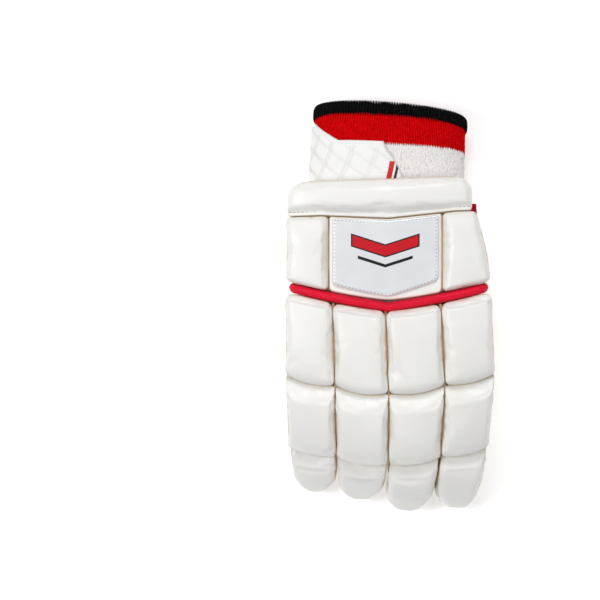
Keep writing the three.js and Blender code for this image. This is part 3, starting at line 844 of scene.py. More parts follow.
class Row(Tree):
    """Geometry Nodes that lay small round-ended rods along a path, each square to its surface."""

    sizes = ("Pitch", "Length", "Width", "Height", "Blunt")
    steps = 9
    sides = 8
    thinnest = 0.02

    def __init__(self, name: str) -> None:
        """Builds the tree, with a named input for each size.

        Args:
            name: the tree's name.
        """
        super().__init__(bpy.data.node_groups.new(name, "GeometryNodeTree"))
        face = self.tree.interface
        inputs = [("Path", "NodeSocketGeometry"), *((size, "NodeSocketFloat") for size in self.sizes),
                  ("Finish", "NodeSocketMaterial")]
        self.ids = {title: face.new_socket(title, in_out="INPUT", socket_type=kind).identifier
                    for title, kind in inputs}
        face.new_socket("Rods", in_out="OUTPUT", socket_type="NodeSocketGeometry")
        given = self.tree.nodes.new("NodeGroupInput")
        size = {title: Wire(self.tree, given.outputs[title]) for title, _ in inputs}
        half = size["Length"] * 0.5
        line = self.node("GeometryNodeCurvePrimitiveLine", None,
                         {"Start": self.vector(-half, 0.0, 0.0), "End": self.vector(half, 0.0, 0.0)})
        line = self.node("GeometryNodeResampleCurve", None, {"Curve": line, "Count": self.steps})
        factor = self.node("GeometryNodeSplineParameter")
        rounding = (1.0 - (abs(factor * 2.0 - 1.0) ** size["Blunt"])).most(self.thinnest) ** 0.5
        circle = self.node("GeometryNodeCurvePrimitiveCircle", None,
                           {"Resolution": self.sides, "Radius": 0.5})
        rod = self.node("GeometryNodeCurveToMesh", None,
                        {"Curve": line, "Profile Curve": circle, "Scale": rounding, "Fill Caps": True})
        rod = self.node("GeometryNodeTransform", None,
                        {"Geometry": rod, "Scale": self.vector(1.0, size["Width"], size["Height"])})
        path = self.node("GeometryNodeMeshToCurve", None, {"Mesh": size["Path"]})
        path = self.node("GeometryNodeResampleCurve", {"mode": "LENGTH"},
                         {"Curve": path, "Length": size["Pitch"]})
        turn = self.node("FunctionNodeAlignRotationToVector", {"axis": "X"}, {"Vector": self.stored("lie")})
        turn = self.node("FunctionNodeAlignRotationToVector", {"axis": "Z", "pivot_axis": "X"},
                         {"Rotation": turn, "Vector": self.stored("out")})
        rods = self.node("GeometryNodeInstanceOnPoints", None,
                         {"Points": path, "Instance": rod, "Rotation": turn})
        rods = self.node("GeometryNodeRealizeInstances", None, {"Geometry": rods})
        rods = self.node("GeometryNodeSetMaterial", None, {"Geometry": rods, "Material": size["Finish"]})
        output = self.tree.nodes.new("NodeGroupOutput")
        self.tree.links.new(rods.socket, output.inputs[0])

    def vector(self, x: "Wire | float", y: "Wire | float", z: "Wire | float") -> Wire:
        """Returns a vector from its three parts."""
        return self.node("ShaderNodeCombineXYZ", None, {"X": x, "Y": y, "Z": z})

    def stored(self, name: str) -> Wire:
        """Returns a vector that is stored on the path's points."""
        return self.node("GeometryNodeInputNamedAttribute", {"data_type": "FLOAT_VECTOR"}, {"Name": name})

    def lay(self, name: str, rod: Rod, points: Array, lie: Array, out: Array,
            finish: bpy.types.Material, closed: bool = False) -> bpy.types.Object:
        """Lays rods along one path and makes them a plain mesh.

        Args:
            name: the piece's name.
            rod: the rods' sizes.
            points: the path, in millimetres.
            lie: the direction of a rod at each point.
            out: the direction out of the surface at each point.
            finish: the rods' material.
            closed: whether the path closes on itself.

        Returns:
            The rods as one mesh object.
        """
        count = len(points)
        mesh = bpy.data.meshes.new(f"{name}_path")
        edges = [(i, (i + 1) % count) for i in range(count if closed else count - 1)]
        mesh.from_pydata((points * MM).tolist(), edges, [])
        for title, vectors in (("lie", lie), ("out", out)):
            layer = mesh.attributes.new(title, "FLOAT_VECTOR", "POINT")
            layer.data.foreach_set("vector", np.asarray(vectors, np.float32).ravel())
        path = bpy.data.objects.new(f"{name}_path", mesh)
        bpy.context.scene.collection.objects.link(path)
        nodes = path.modifiers.new("row", "NODES")
        nodes.node_group = self.tree
        for title in self.sizes:
            size = getattr(rod, title.lower())
            nodes[self.ids[title]] = size if title == "Blunt" else size * MM
        nodes[self.ids["Finish"]] = finish
        graph = bpy.context.evaluated_depsgraph_get()
        made = bpy.data.meshes.new_from_object(path.evaluated_get(graph))
        made.shade_smooth()
        piece = bpy.data.objects.new(name, made)
        bpy.context.scene.collection.objects.link(piece)
        bpy.data.objects.remove(path)
        return piece


def along_path(points: Array, closed: bool = False) -> Array:
    """Returns the direction of a path at each of its points.

    Args:
        points: the path.
        closed: whether it closes on itself.

    Returns:
        One unit vector for each point.
    """
    if closed:
        step = np.roll(points, -1, 0) - np.roll(points, 1, 0)
    else:
        step = np.gradient(points, axis=0)
    return step / np.maximum(np.linalg.norm(step, axis=1, keepdims=True), TINY)


# Padding


def corner_inset(across: float, along: float, distance: Array) -> Array:
    """Returns how far an elliptical corner draws the side in, at a distance from the end."""
    reach = np.clip(1 - distance / along, 0, 1)
    return across * (1 - np.sqrt(np.maximum(1 - reach**2, 0)))


@dataclass
class Pad:
    """One stuffed leather pad: a rounded outline in hand coordinates and a roof over it."""

    node: str
    place: Place
    left: Edge
    right: Edge
    start: Edge
    end: Edge
    thick: float
    start_corner: float = 3.5
    end_corner: float = 3.5
    end_taper: float = 3.5
    side_round: float = 5.6
    end_round: float = 5.0
    ramp: float = 10.0
    ramp_drop: float = 0.2
    ramp_power: float = 1.15
    crown: float = 0.05
    low_edge: float = 0.66
    dome: float = 0.0
    full_dome: float = 8.0
    lip: float = 0.0
    lip_level: float = 0.25
    seat: float = SEAT
    # How far in from the roof's edge the painted seam shade reaches
    seam_shade_width: float = 0.9
    held_width: float = 0.35
    wall_steps: tuple[float, ...] = (0.2, 0.45, 0.7, 0.88)
    wall_draft: float = 0.03
    # The share of painted seam shade on the walls
    wall_seam_shade: float = 0.2
    base_share: float = 0.965
    columns: int = 28
    rows: int = 44
    suffix: str = "leather"
    stuffed: bool = True

    def edge_level(self, v: Array) -> Array:
        """Returns the height of the pad's edge at v, as a share of the thickness."""
        return self.low_edge * (1 - 0.6 * smooth_step(0.3, 1.0, v) * min(self.dome / self.full_dome, 1))

    def roof(self, aside: Array, from_start: Array, to_end: Array) -> Array:
        """Returns the roof's height as a share of the thickness.

        Args:
            aside: distances in from the nearer side.
            from_start: distances from the sewn start.
            to_end: distances from the free end.

        Returns:
            Heights from the low edge up to about 1.
        """
        v = from_start / (from_start + to_end)
        slope = 1 - self.ramp_drop * (1 - np.clip(from_start / self.ramp, 0, 1)) ** self.ramp_power
        start = shoulder(from_start, self.side_round * 0.6) * slope
        side = shoulder(aside, self.side_round + self.dome * smooth_step(0.25, 1.0, v))
        end = shoulder(to_end - self.lip, self.end_round)
        if self.lip:
            end = np.maximum(end, self.lip_level * shoulder(to_end, 1.0))
        level = smooth_min([side, start, end], 0.03)
        low = self.edge_level(v)
        return low + (1 - low) * np.maximum(level, 0)

    def spans(self, v: Array, inset: float = 0.0) -> tuple[Array, Array, Array]:
        """Returns the middle, half width and length of the outline at v, set in by an inset."""
        left, right = self.left(v) + inset, self.right(v) - inset
        middle = (left + right) / 2
        return middle, (right - left) / 2, self.end(middle) - self.start(middle)

    def stand(self, u: Array, v: Array, height: Array | float) -> Array:
        """Returns points at heights over the pad's seat, at u and at shares of its length."""
        t = self.start(u) + (self.end(u) - self.start(u)) * v
        return self.place(u, t, self.seat + height)

    def ring(self, inset: float, height: float, steps: int = 80) -> Array:
        """Returns a closed line of points over the pad, set in from its outline.

        Args:
            inset: how far in it runs.
            height: its height over the pad's seat.
            steps: points along each side.

        Returns:
            Points in the row frame, in millimetres.
        """
        v = np.linspace(0, 1, steps)
        middle, half, length = self.spans(v, inset)
        run = inset + v * (length - 2 * inset)
        first, last = (max(corner - inset, 0.3) for corner in (self.start_corner, self.end_corner))
        drawn = np.maximum(corner_inset(first, first, run - inset),
                           corner_inset(last, last, length - inset - run))
        share = run / length
        low_u, high_u = middle - half + drawn, middle + half - drawn
        u = np.concatenate([np.linspace(low_u[0], high_u[0], steps), high_u[1:],
                            np.linspace(high_u[-1], low_u[-1], steps)[1:], low_u[-2:0:-1]])
        v = np.concatenate([np.full(steps, share[0]), share[1:], np.full(steps - 1, share[-1]),
                            share[-2:0:-1]])
        return self.stand(u, v, height)

    def build(self) -> bpy.types.Object:
        """Builds the pad as a closed mesh with the number "seam" on its points, which paints shade at its
        edges.

        Returns:
            The pad before it is stuffed, with what is sewn down in the group "hold".
        """
        spread = np.linspace(-1, 1, self.columns + 1)
        a = 0.45 * spread + 0.55 * np.sin(spread * np.pi / 2)
        share = np.linspace(0, 1, self.rows + 1)
        v = 0.5 * share + 0.5 * (1 - np.cos(share * np.pi)) / 2
        middle, half, length = self.spans(v)
        inset = np.maximum(corner_inset(self.start_corner, self.start_corner, v * length),
                           corner_inset(self.end_corner, self.end_taper, (1 - v) * length))
        reach = (half - inset)[:, None]
        a, v = np.broadcast_arrays(a[None, :], v[:, None])
        aside = (1 - np.abs(a)) * reach
        from_start, to_end = v * length[:, None], (1 - v) * length[:, None]
        height = self.roof(aside, from_start, to_end)
        height = height * (1 + self.crown * (1 - a**2) * (1 - (2 * v - 1) ** 4))
        edge = np.minimum(aside, np.minimum(from_start, to_end)).ravel()
        flat = np.stack([middle[:, None] + a * reach, v], -1).reshape(-1, 2)
        centre = np.array([middle.mean(), 0.5])
        rim = grid_rim(self.rows + 1, self.columns + 1)
        rim_height = self.thick * self.edge_level(v).ravel()[rim]
        layers, heights = [flat], [height.ravel() * self.thick]
        # The number "seam" paints shade: 1 at the roof's edge and fading inwards, a little on the walls,
        # and 1 on the base
        seams = [1 - smooth_step(0.0, self.seam_shade_width, edge)]
        faces = grid_faces(self.rows + 1, self.columns + 1)
        upper, total = rim, len(flat)
        for share in self.wall_steps:
            layers.append(centre + (flat[rim] - centre) * (1 - self.wall_draft * share**2))
            heights.append(rim_height * (1 - share))
            seams.append(np.full(len(rim), self.wall_seam_shade))
            lower = np.arange(total, total + len(rim))
            faces += band_faces(upper, lower)
            upper = lower
            total += len(rim)
        layers.append(centre + (flat - centre) * self.base_share)
        heights.append(np.zeros(len(flat)))
        seams.append(np.ones(len(flat)))
        faces += grid_faces(self.rows + 1, self.columns + 1, total)
        faces += band_faces(upper, rim + total)
        plan = np.concatenate(layers)
        points = lift(self.stand(plan[:, 0], plan[:, 1], np.concatenate(heights)))
        piece = make_piece(f"{self.node}_{self.suffix}", points, faces, seam=np.concatenate(seams))
        held = np.ones(len(points), bool)
        held[:edge.size] = (edge < self.held_width) | (to_end.ravel() < self.lip)
        hold = piece.vertex_groups.new(name="hold")
        hold.add([int(i) for i in np.nonzero(held)[0]], 1.0, "REPLACE")
        return piece


@dataclass
class Stuffing:
    """Swells pads with cloth that is held at its seams and blown from inside."""

    pressure: float = 4.0
    frames: int = 14
    furthest: float = 1.3
    spare: float = -0.02
    usual_width: float = 0.036
    quality: int = 4
    mass: float = 0.2
    stretch: float = 40.0
    shear: float = 20.0
    bending: float = 1.5

    def fill(self, pad: bpy.types.Object) -> None:
        """Makes one pad a cloth. A wide pad gets less spare leather, so that it doesn't buckle.

        Args:
            pad: a pad's mesh object.
        """
        cloth = pad.modifiers.new("stuffing", "CLOTH")
        settings = {
            "quality": self.quality,
            "mass": self.mass,
            "tension_stiffness": self.stretch,
            "compression_stiffness": self.stretch,
            "shear_stiffness": self.shear,
            "bending_stiffness": self.bending,
            "use_pressure": True,
            "uniform_pressure_force": self.pressure,
            "shrink_min": self.spare * min(1, self.usual_width / pad.dimensions.x),
            "vertex_group_mass": "hold",
        }
        for name, value in settings.items():
            setattr(cloth.settings, name, value)
        cloth.settings.effector_weights.gravity = 0
        cloth.collision_settings.use_collision = False
        cloth.point_cache.frame_start = 1
        cloth.point_cache.frame_end = self.frames

    def run(self, pads: Sequence[bpy.types.Object]) -> None:
        """Simulates every pad side by side, and keeps the result in its mesh.

        Args:
            pads: the pads' mesh objects.
        """
        scene = bpy.context.scene
        for pad in pads:
            self.fill(pad)
        for step in range(1, self.frames + 1):
            scene.frame_set(step)
        graph = bpy.context.evaluated_depsgraph_get()
        results = []
        for pad in pads:
            before = points_of(pad.data)
            move = points_of(pad.evaluated_get(graph).data) - before
            far = np.linalg.norm(move, axis=1, keepdims=True)
            results.append(before + move * np.minimum(1, self.furthest / np.maximum(far, TINY)))
        for pad, points in zip(pads, results):
            pad.modifiers.clear()
            put_points(pad.data, points)
        scene.frame_set(1)


def dress_pads(pads: Sequence[Pad], finish: bpy.types.Material) -> None:
    """Builds, stuffs and dresses pads of white leather.

    Args:
        pads: the pads. Those too thin to be stuffed keep their built shape.
        finish: their leather.
    """
    built = [pad.build() for pad in pads]
    Stuffing().run([piece for pad, piece in zip(pads, built) if pad.stuffed])
    for pad, piece in zip(pads, built):
        dress(piece, finish, "white_leather", pad.node)


class RollRow(Enum):
    """The rows of finger rolls, from the knuckles to the fingertips."""

    KNUCKLE = "knuckle"
    MIDDLE = "middle"
    TIP = "tip"


@dataclass(frozen=True)
class RollShape:
    """What the rolls of one row share, in millimetres."""

    thick: float
    start_bulge: float
    end_bulge: float
    start_corner: float
    end_corner: float
    end_taper: float
    end_round: float
    ramp: float
    ramp_drop: float
    dome: float = 0.0


BULGE = 2.4
ROLLS = {
    RollRow.KNUCKLE: RollShape(thick=20.0, start_bulge=0.0, end_bulge=BULGE, start_corner=5.2,
                               end_corner=4.0, end_taper=3.4, end_round=9.0, ramp=6.0, ramp_drop=0.6),
    RollRow.MIDDLE: RollShape(thick=19.0, start_bulge=BULGE, end_bulge=BULGE, start_corner=2.2,
                              end_corner=3.6, end_taper=3.0, end_round=11.0, ramp=12.0, ramp_drop=0.85),
    RollRow.TIP: RollShape(thick=16.0, start_bulge=BULGE, end_bulge=0.0, start_corner=2.2,
                           end_corner=15.2, end_taper=19.0, end_round=10.0, ramp=7.5, ramp_drop=0.95,
                           dome=7.0),
}


def finger_line(finger: int, t: float, bulge: float) -> Edge:
    """Returns a line across a finger at t that bulges towards the fingertip."""
    left, right = float(column_edge(finger, 0, t)), float(column_edge(finger, 1, t))
    middle, half = (left + right) / 2, (right - left) / 2
    return lambda u: t + bulge * (0.5 - ((u - middle) / half) ** 2)


@dataclass
class FingerRolls:
    """The twelve stuffed rolls over the fingers."""

    tip_inset: float = 0.9
    outer_inset: float = 1.2
    tip_reach: float = 3.2
    turn_length: float = 20.0

    def square_tip(self, finger: int) -> Place:
        """Returns the finger's place function with its end turned square to the finger.

        Args:
            finger: its number, counted from the little finger.

        Returns:
            The function, from arrays of u, t and h to points.
        """
        place = on_finger(finger)
        middle = float(column_edge(finger, 0, T_END) + column_edge(finger, 1, T_END)) / 2

        def squared(u: Array, t: Array, h: Array) -> Array:
            """Returns points in the row frame, in millimetres."""
            points = place(u, t, h)
            turned = bow_at(u) - bow_at(middle) + self.tip_reach
            points[..., 1] -= turned * smooth_step(T_END, T_END + self.turn_length, t)
            return points

        return squared

    def pad(self, finger: int, row: RollRow, start: float, end: float) -> Pad:
        """Returns one roll between two distances along its finger.

        Args:
            finger: its number, counted from the little finger.
            row: which of its rolls.
            start: where the roll starts.
            end: where it ends.

        Returns:
            The pad, not built yet.
        """
        shape = ROLLS[row]
        is_tip = row is RollRow.TIP
        inset = self.tip_inset if is_tip else COLUMN_GAP / 2
        insets = [inset + (self.outer_inset if finger == outer else 0) for outer in (LITTLE, INDEX)]
        span = end - start
        return Pad(
            node=f"{FINGERS[finger]}_{row.value}_roll",
            place=self.square_tip(finger) if is_tip else on_finger(finger),
            left=lambda v: column_edge(finger, 0, start + v * span) + insets[0],
            right=lambda v: column_edge(finger, 1, start + v * span) - insets[1],
            start=finger_line(finger, start + ROW_GAP / 2, shape.start_bulge),
            end=finger_line(finger, end - ROW_GAP / 2, shape.end_bulge),
            thick=shape.thick, start_corner=shape.start_corner, end_corner=shape.end_corner,
            end_taper=shape.end_taper, end_round=shape.end_round, ramp=shape.ramp,
            ramp_drop=shape.ramp_drop, dome=shape.dome,
        )

    def pads(self) -> list[Pad]:
        """Returns every roll, finger by finger.

        Returns:
            The pads, not built yet.
        """
        pads = []
        for finger in range(len(FINGERS)):
            ends = (0.0, KNUCKLE_ROW, T_END, T_END + TIP_LENGTH[finger] + TIP_WRAP)
            pads += [self.pad(finger, row, *ends[k:k + 2]) for k, row in enumerate(RollRow)]
        return pads


@dataclass
class BackPads:
    """The stuffed pieces on the back of the hand, round the badge."""

    piping_width: float = 7.0
    badge_x: float = -2.0
    badge_width: float = 77.0
    edge_inset: float = 0.25
    wrist_inset: float = 1.0
    wrist_width: float = 126.0
    wrist_depth: float = 24.3
    past_wrist: float = 2.0
    lean: float = 0.035
    notch: float = 3.5
    notch_reach: float = 45.0
    swell: float = 1.7
    widest_inset: float = 1.5
    narrowest_past: float = 2.0
    stitch: Rod = Rod(pitch=2.9, length=2.1, width=0.5, height=0.45)

    def __post_init__(self) -> None:
        """Works out the edges that the pieces share."""
        self.little = float(column_edge(LITTLE, 0, 0)) + self.edge_inset
        self.index = float(column_edge(INDEX, 1, 0)) - self.edge_inset
        self.badge_little = self.badge_x - self.badge_width / 2
        self.badge_index = self.badge_x + self.badge_width / 2
        self.wrist_little = self.little + self.wrist_inset
        self.wrist_index = self.wrist_little + self.wrist_width

    def wrist_edge(self, u: Array) -> Array:
        """Returns where the wrist pad's edge towards the fingers lies."""
        notch = self.notch * np.maximum(0, 1 - np.abs(u) / self.notch_reach)
        return notch - WRIST + self.past_wrist - self.lean * u

    def top(self, u: Array) -> Array:
        """Returns where the side pads and the badge start."""
        return self.wrist_edge(u) + bow_at(u) + ROW_GAP

    def bottom(self, u: Array) -> Array:
        """Returns where the side pads and the badge's leather end, at the piping."""
        return np.full_like(u, -self.piping_width - ROW_GAP)

    def wrist_pad(self) -> Pad:
        """Returns the stuffed bar across the wrist, with its sewn lip.

        Returns:
            The pad, not built yet.
        """
        return Pad(
            "wrist_pad", lambda u, t, h: on_hand(u, t + bow_at(u), h),
            left=flat_edge(self.wrist_little), right=flat_edge(self.wrist_index),
            start=lambda u: self.past_wrist - WRIST - self.wrist_depth - self.lean * u,
            end=self.wrist_edge, thick=19.0, start_corner=13.0, end_corner=2.0, side_round=8.0,
            end_round=7.0, ramp=12.0, ramp_drop=0.15, low_edge=0.5, lip=3.4, lip_level=0.45,
            columns=60)

    def side_pad(self, node: str, left: Edge, right: Edge) -> Pad:
        """Returns one of the two pads beside the badge."""
        return Pad(node, on_hand, left, right, self.top, self.bottom, thick=18.0, start_corner=3.0,
                   end_corner=4.0, ramp=3.0, ramp_drop=0.3)

    def pads(self) -> list[Pad]:
        """Returns every pad of the back.

        Returns:
            The pads, not built yet.
        """
        gap = COLUMN_GAP / 2
        widest, narrowest = self.index - self.widest_inset, self.wrist_index + self.narrowest_past
        return [
            self.wrist_pad(),
            self.side_pad("little_side_pad", flat_edge(self.wrist_little),
                          flat_edge(self.badge_little - gap)),
            self.side_pad("index_side_pad", flat_edge(self.badge_index + gap),
                          lambda v: lerp(widest, narrowest, (1 - v) ** self.swell)),
            Pad("badge_backing", on_hand, flat_edge(self.badge_little + gap),
                flat_edge(self.badge_index - gap), self.top, self.bottom, thick=13.0,
                start_corner=2.0, end_corner=3.0, side_round=2.0, end_round=2.0, ramp=1.0,
                ramp_drop=0.0, crown=0.0, columns=40, rows=40, low_edge=0.85, stuffed=False),
        ]

    def dress_stitches(self, row: Row, finish: bpy.types.Material) -> None:
        """Sews the stitches above the wrist pad's lip.

        Args:
            row: the tree that lays the stitches.
            finish: their thread.
        """
        wrist = self.wrist_pad()
        u = np.linspace(self.little + 4, self.wrist_index - 3, 120)
        t = wrist.end(u) - wrist.lip + 0.5
        level = wrist.low_edge * (1 - wrist.lip_level) + wrist.lip_level
        low, high = (wrist.place(u, t, wrist.seat + wrist.thick * level + up) for up in (0.1, 1.1))
        stitches = row.lay("wrist_pad_stitches", self.stitch, low, along_path(low), high - low, finish)
        dress(stitches, finish, "white_leather")


@dataclass
class SeamShadeStrips:
    """Thin tan strips at the bottom of the valleys between the pads: painted shade of the seams where the
    pads meet.
    """

    half_width: float = 0.8
    depth: float = 5.0
    below: float = 0.8
    side_level: float = 11.0
    wrist_level: float = 9.5
    points: list[Array] = field(default_factory=list)
    faces: list[tuple[int, ...]] = field(default_factory=list)

    def strip(self, place: Place, u: Array, t: Array, edge: Array | float, along: bool) -> None:
        """Adds one strip.

        Args:
            place: turns hand coordinates into points.
            u: where its middle line lies across the hand.
            t: where its middle line lies along the hand.
            edge: the height of the pads' edges above the leather that carries them.
            along: whether it runs along the fingers.
        """
        aside, ahead = (self.half_width, 0) if along else (0, self.half_width)
        top = edge - self.below
        corners = ((-1, -self.depth), (1, -self.depth), (1, 0), (-1, 0))
        loops = np.stack([place(u + side * aside, t + side * ahead, top + drop)
                          for side, drop in corners], 1)
        first = len(corners) * len(self.points)
        self.faces += tube_faces(len(loops), len(corners), first)
        self.faces += end_faces(len(loops), len(corners), first)
        self.points += list(loops)

    def between_fingers(self) -> None:
        """Adds the strips along and across the finger rolls."""
        t = np.linspace(0.5, T_END + 1, 80)
        thick = np.where(t < KNUCKLE_ROW, ROLLS[RollRow.KNUCKLE].thick, ROLLS[RollRow.MIDDLE].thick)
        for finger in range(INDEX):
            lower = max((finger, finger + 1), key=CURL.__getitem__)
            self.strip(on_finger(lower), column_edge(finger, 1, t), t, SEAT + Pad.low_edge * thick, True)
        for finger in range(len(FINGERS)):
            for start, row in ((KNUCKLE_ROW, RollRow.MIDDLE), (T_END, RollRow.TIP)):
                u = np.linspace(column_edge(finger, 0, start) + 2, column_edge(finger, 1, start) - 2, 30)
                line = finger_line(finger, start, BULGE)
                self.strip(on_finger(finger), u, line(u), SEAT + Pad.low_edge * ROLLS[row].thick, False)

    def on_back(self, back: BackPads) -> None:
        """Adds the strips beside the badge and under the wrist pad's lip.

        Args:
            back: the pads that they run between.
        """
        for side in (back.badge_little, back.badge_index):
            t = np.linspace(float(back.top(np.array(side))) + 1, -back.piping_width - 1, 40)
            self.strip(on_hand, np.full_like(t, side), t, SEAT + self.side_level, True)
        u = np.linspace(back.little + 4, back.wrist_index - 4, 90)
        self.strip(on_hand, u, back.top(u) - ROW_GAP / 2, SEAT + self.wrist_level, False)

    def dress(self, back: BackPads, finish: bpy.types.Material) -> None:
        """Builds and dresses every strip as one mesh.

        Args:
            back: the pads of the back.
            finish: the strips' tan finish, which paints the seams' shade.
        """
        self.between_fingers()
        self.on_back(back)
        piece = make_piece("pad_valleys_leather", np.array(self.points), self.faces, seam=0.0)
        dress(piece, finish, "white_leather")


# The hand, its fingers and its thumb

SHELL_V = (0.0, 0.18, 0.4, 0.62, 1.0)
SHELL_SHARE = (0.375, 0.41, 0.441, 0.455, 0.462)


def shell_half_width(t: Array) -> Array:
    """Returns the hand shell's half width at t."""
    return HAND_WIDTH * np.interp((np.asarray(t) + WRIST) / (WRIST + WEB), SHELL_V, SHELL_SHARE)


@dataclass(frozen=True)
class Stall:
    """A hollow finger of thin leather, round at its tip."""

    place: Place
    root: float
    tip: float
    rise: float
    gap: float
    sides: Callable[[float], tuple[float, float]]
    power: Callable[[float], float]
    steps: int
    around: int
    tip_round: float = 7.0
    cap_steps: int = 9

    def loops(self) -> Array:
        """Returns its outside's loops from root to tip, then its inside's back to the root.

        Returns:
            Points in the row frame, in millimetres.
        """
        turn = np.linspace(0.15, 1, self.cap_steps) * np.pi / 2
        body = np.linspace(self.root, self.tip - self.tip_round, self.steps)
        stations = np.concatenate([body, self.tip - self.tip_round * np.cos(turn)])
        loops = []
        for wall in (0, LEATHER_WALL):
            part = []
            for t in stations:
                past = max((t - self.tip + self.tip_round) / self.tip_round, 0)
                round_off = math.sqrt(max(1 - past**2, 0.001))
                left, right = self.sides(t)
                a, b = oval(full_turn(self.around), self.power(t))
                u = (left + right) / 2 + a * ((right - left) / 2 * (0.45 + 0.55 * round_off) - wall)
                h = b * (self.rise * round_off - wall * min(1, round_off * 2)) - self.rise - self.gap
                part.append(self.place(u, np.full_like(u, min(t, self.tip - wall)), h))
            loops += part if wall == 0 else part[::-1]
        return np.array(loops)


@dataclass
class Body:
    """The hollow leather hand and its finger stalls."""

    around: int = 160
    stations: int = 70
    shell_power: float = 4.0
    under_pads: float = 0.3
    folds: tuple[tuple[float, float, float], ...] = ((16, 3.0, 0.7), (6, 9.0, 0.25))
    fold_top: float = 50.0
    fold_fade: float = 6.0
    wrist_fade: float = 0.1
    stall_rise: float = 8.0
    stall_side_gap: float = 0.7
    stall_fold: tuple[float, float] = (7.0, 0.45)
    stall_steps: int = 46
    floor_gap: float = 0.2
    seam_turns: tuple[float, float] = (0.6, 0.9)
    stitch: Rod = Rod(pitch=3.4, length=2.5, width=0.6, height=0.5)
    seams: list[tuple[Array, Array]] = field(default_factory=list)

    def keep_seams(self, outer: Array, away: Array) -> None:
        """Keeps the lines of a tube along which it is sewn, with the way out of it."""
        for turn in self.seam_turns:
            k = int(round(turn * outer.shape[1]))
            self.seams.append((outer[:, k] + away[:, k] * 0.05, away[:, k]))

    def shell_loop(self, t: float, wall: float) -> Array:
        """Returns the hand shell's section at t, drawn in by a wall.

        Args:
            t: where the section lies.
            wall: how far in it is drawn.

        Returns:
            Points in the row frame, in millimetres.
        """
        a, b = oval(full_turn(self.around), self.shell_power)
        past = min(max(t / WEB, 0), 1)
        height = lerp(PALM_HEIGHT, WEB_HEIGHT, past)
        u = a * (shell_half_width(t) - wall)
        across = u / HALF
        level = (ARCH * across**2 - SIDE_FALL * across) * (1 - past)
        low = level - height + wall
        h = low + (-wall - low) * (b + 1) / 2 - self.under_pads
        return on_hand(u, t + bow_at(u) * max(-t / WRIST, 0), h)

    def shell(self) -> bpy.types.Object:
        """Builds the palm and back as one wall, open at the wrist and at the web.

        Returns:
            The mesh object.
        """
        stations = np.linspace(-WRIST, WEB, self.stations)
        outer = np.array([self.shell_loop(t, 0) for t in stations])
        inner = [self.shell_loop(t, LEATHER_WALL) for t in stations[::-1][::2]]
        folds = sum(ripple(outer, size, seed) * depth for size, seed, depth in self.folds)
        away = outward(outer)
        below = smooth_step(self.fold_top, self.fold_top - self.fold_fade, outer[..., 2])
        below *= smooth_step(0, self.wrist_fade, (stations + WRIST) / (WRIST + WEB))[:, None]
        outer = outer + away * (folds * below)[..., None]
        self.keep_seams(outer, away)
        loops = np.concatenate([outer, np.array(inner)])
        faces = tube_faces(len(loops), self.around, close=True)
        return make_piece("hand_shell_leather", loops, faces, seam=0.0)

    def stall(self, finger: int) -> bpy.types.Object:
        """Builds one finger of thin leather, squared at the web and round at its tip.

        Args:
            finger: its number, counted from the little finger.

        Returns:
            The mesh object.
        """
        gap = self.stall_side_gap
        stall = Stall(
            on_finger(finger), root=WEB - 1.5, tip=T_END + TIP_LENGTH[finger], rise=self.stall_rise,
            gap=self.under_pads, steps=self.stall_steps, around=56,
            sides=lambda t: (column_edge(finger, 0, t) + gap, column_edge(finger, 1, t) - gap),
            power=lambda t: lerp(7, 3, float(smooth_step(WEB, WEB + 14, t))))
        loops = stall.loops()
        outer = loops[:stall.steps + stall.cap_steps]
        away = outward(outer)
        size, depth = self.stall_fold
        outer += away * (ripple(outer, size, finger * 5.0) * depth)[..., None]
        self.keep_seams(outer[:stall.steps], away[:stall.steps])
        faces = tube_faces(len(loops), stall.around, close=True)
        return make_piece(f"{FINGERS[finger]}_stall_leather", lift(loops, self.floor_gap), faces, seam=0.0)

    def dress(self, row: Row, palette: Palette) -> None:
        """Builds and dresses the shell, the stalls and their stitches.

        Args:
            row: the tree that lays the stitches.
            palette: the glove's finishes.
        """
        dress(self.shell(), palette.palm, "palm_leather", "hand_shell")
        for finger, name in enumerate(FINGERS):
            dress(self.stall(finger), palette.palm, "palm_leather", f"{name}_stall")
        for k, (points, out) in enumerate(self.seams):
            stitches = row.lay(f"palm_stitches_{k + 1}", self.stitch, points, along_path(points), out,
                               palette.palm_thread)
            dress(stitches, palette.palm_thread, "palm_leather")


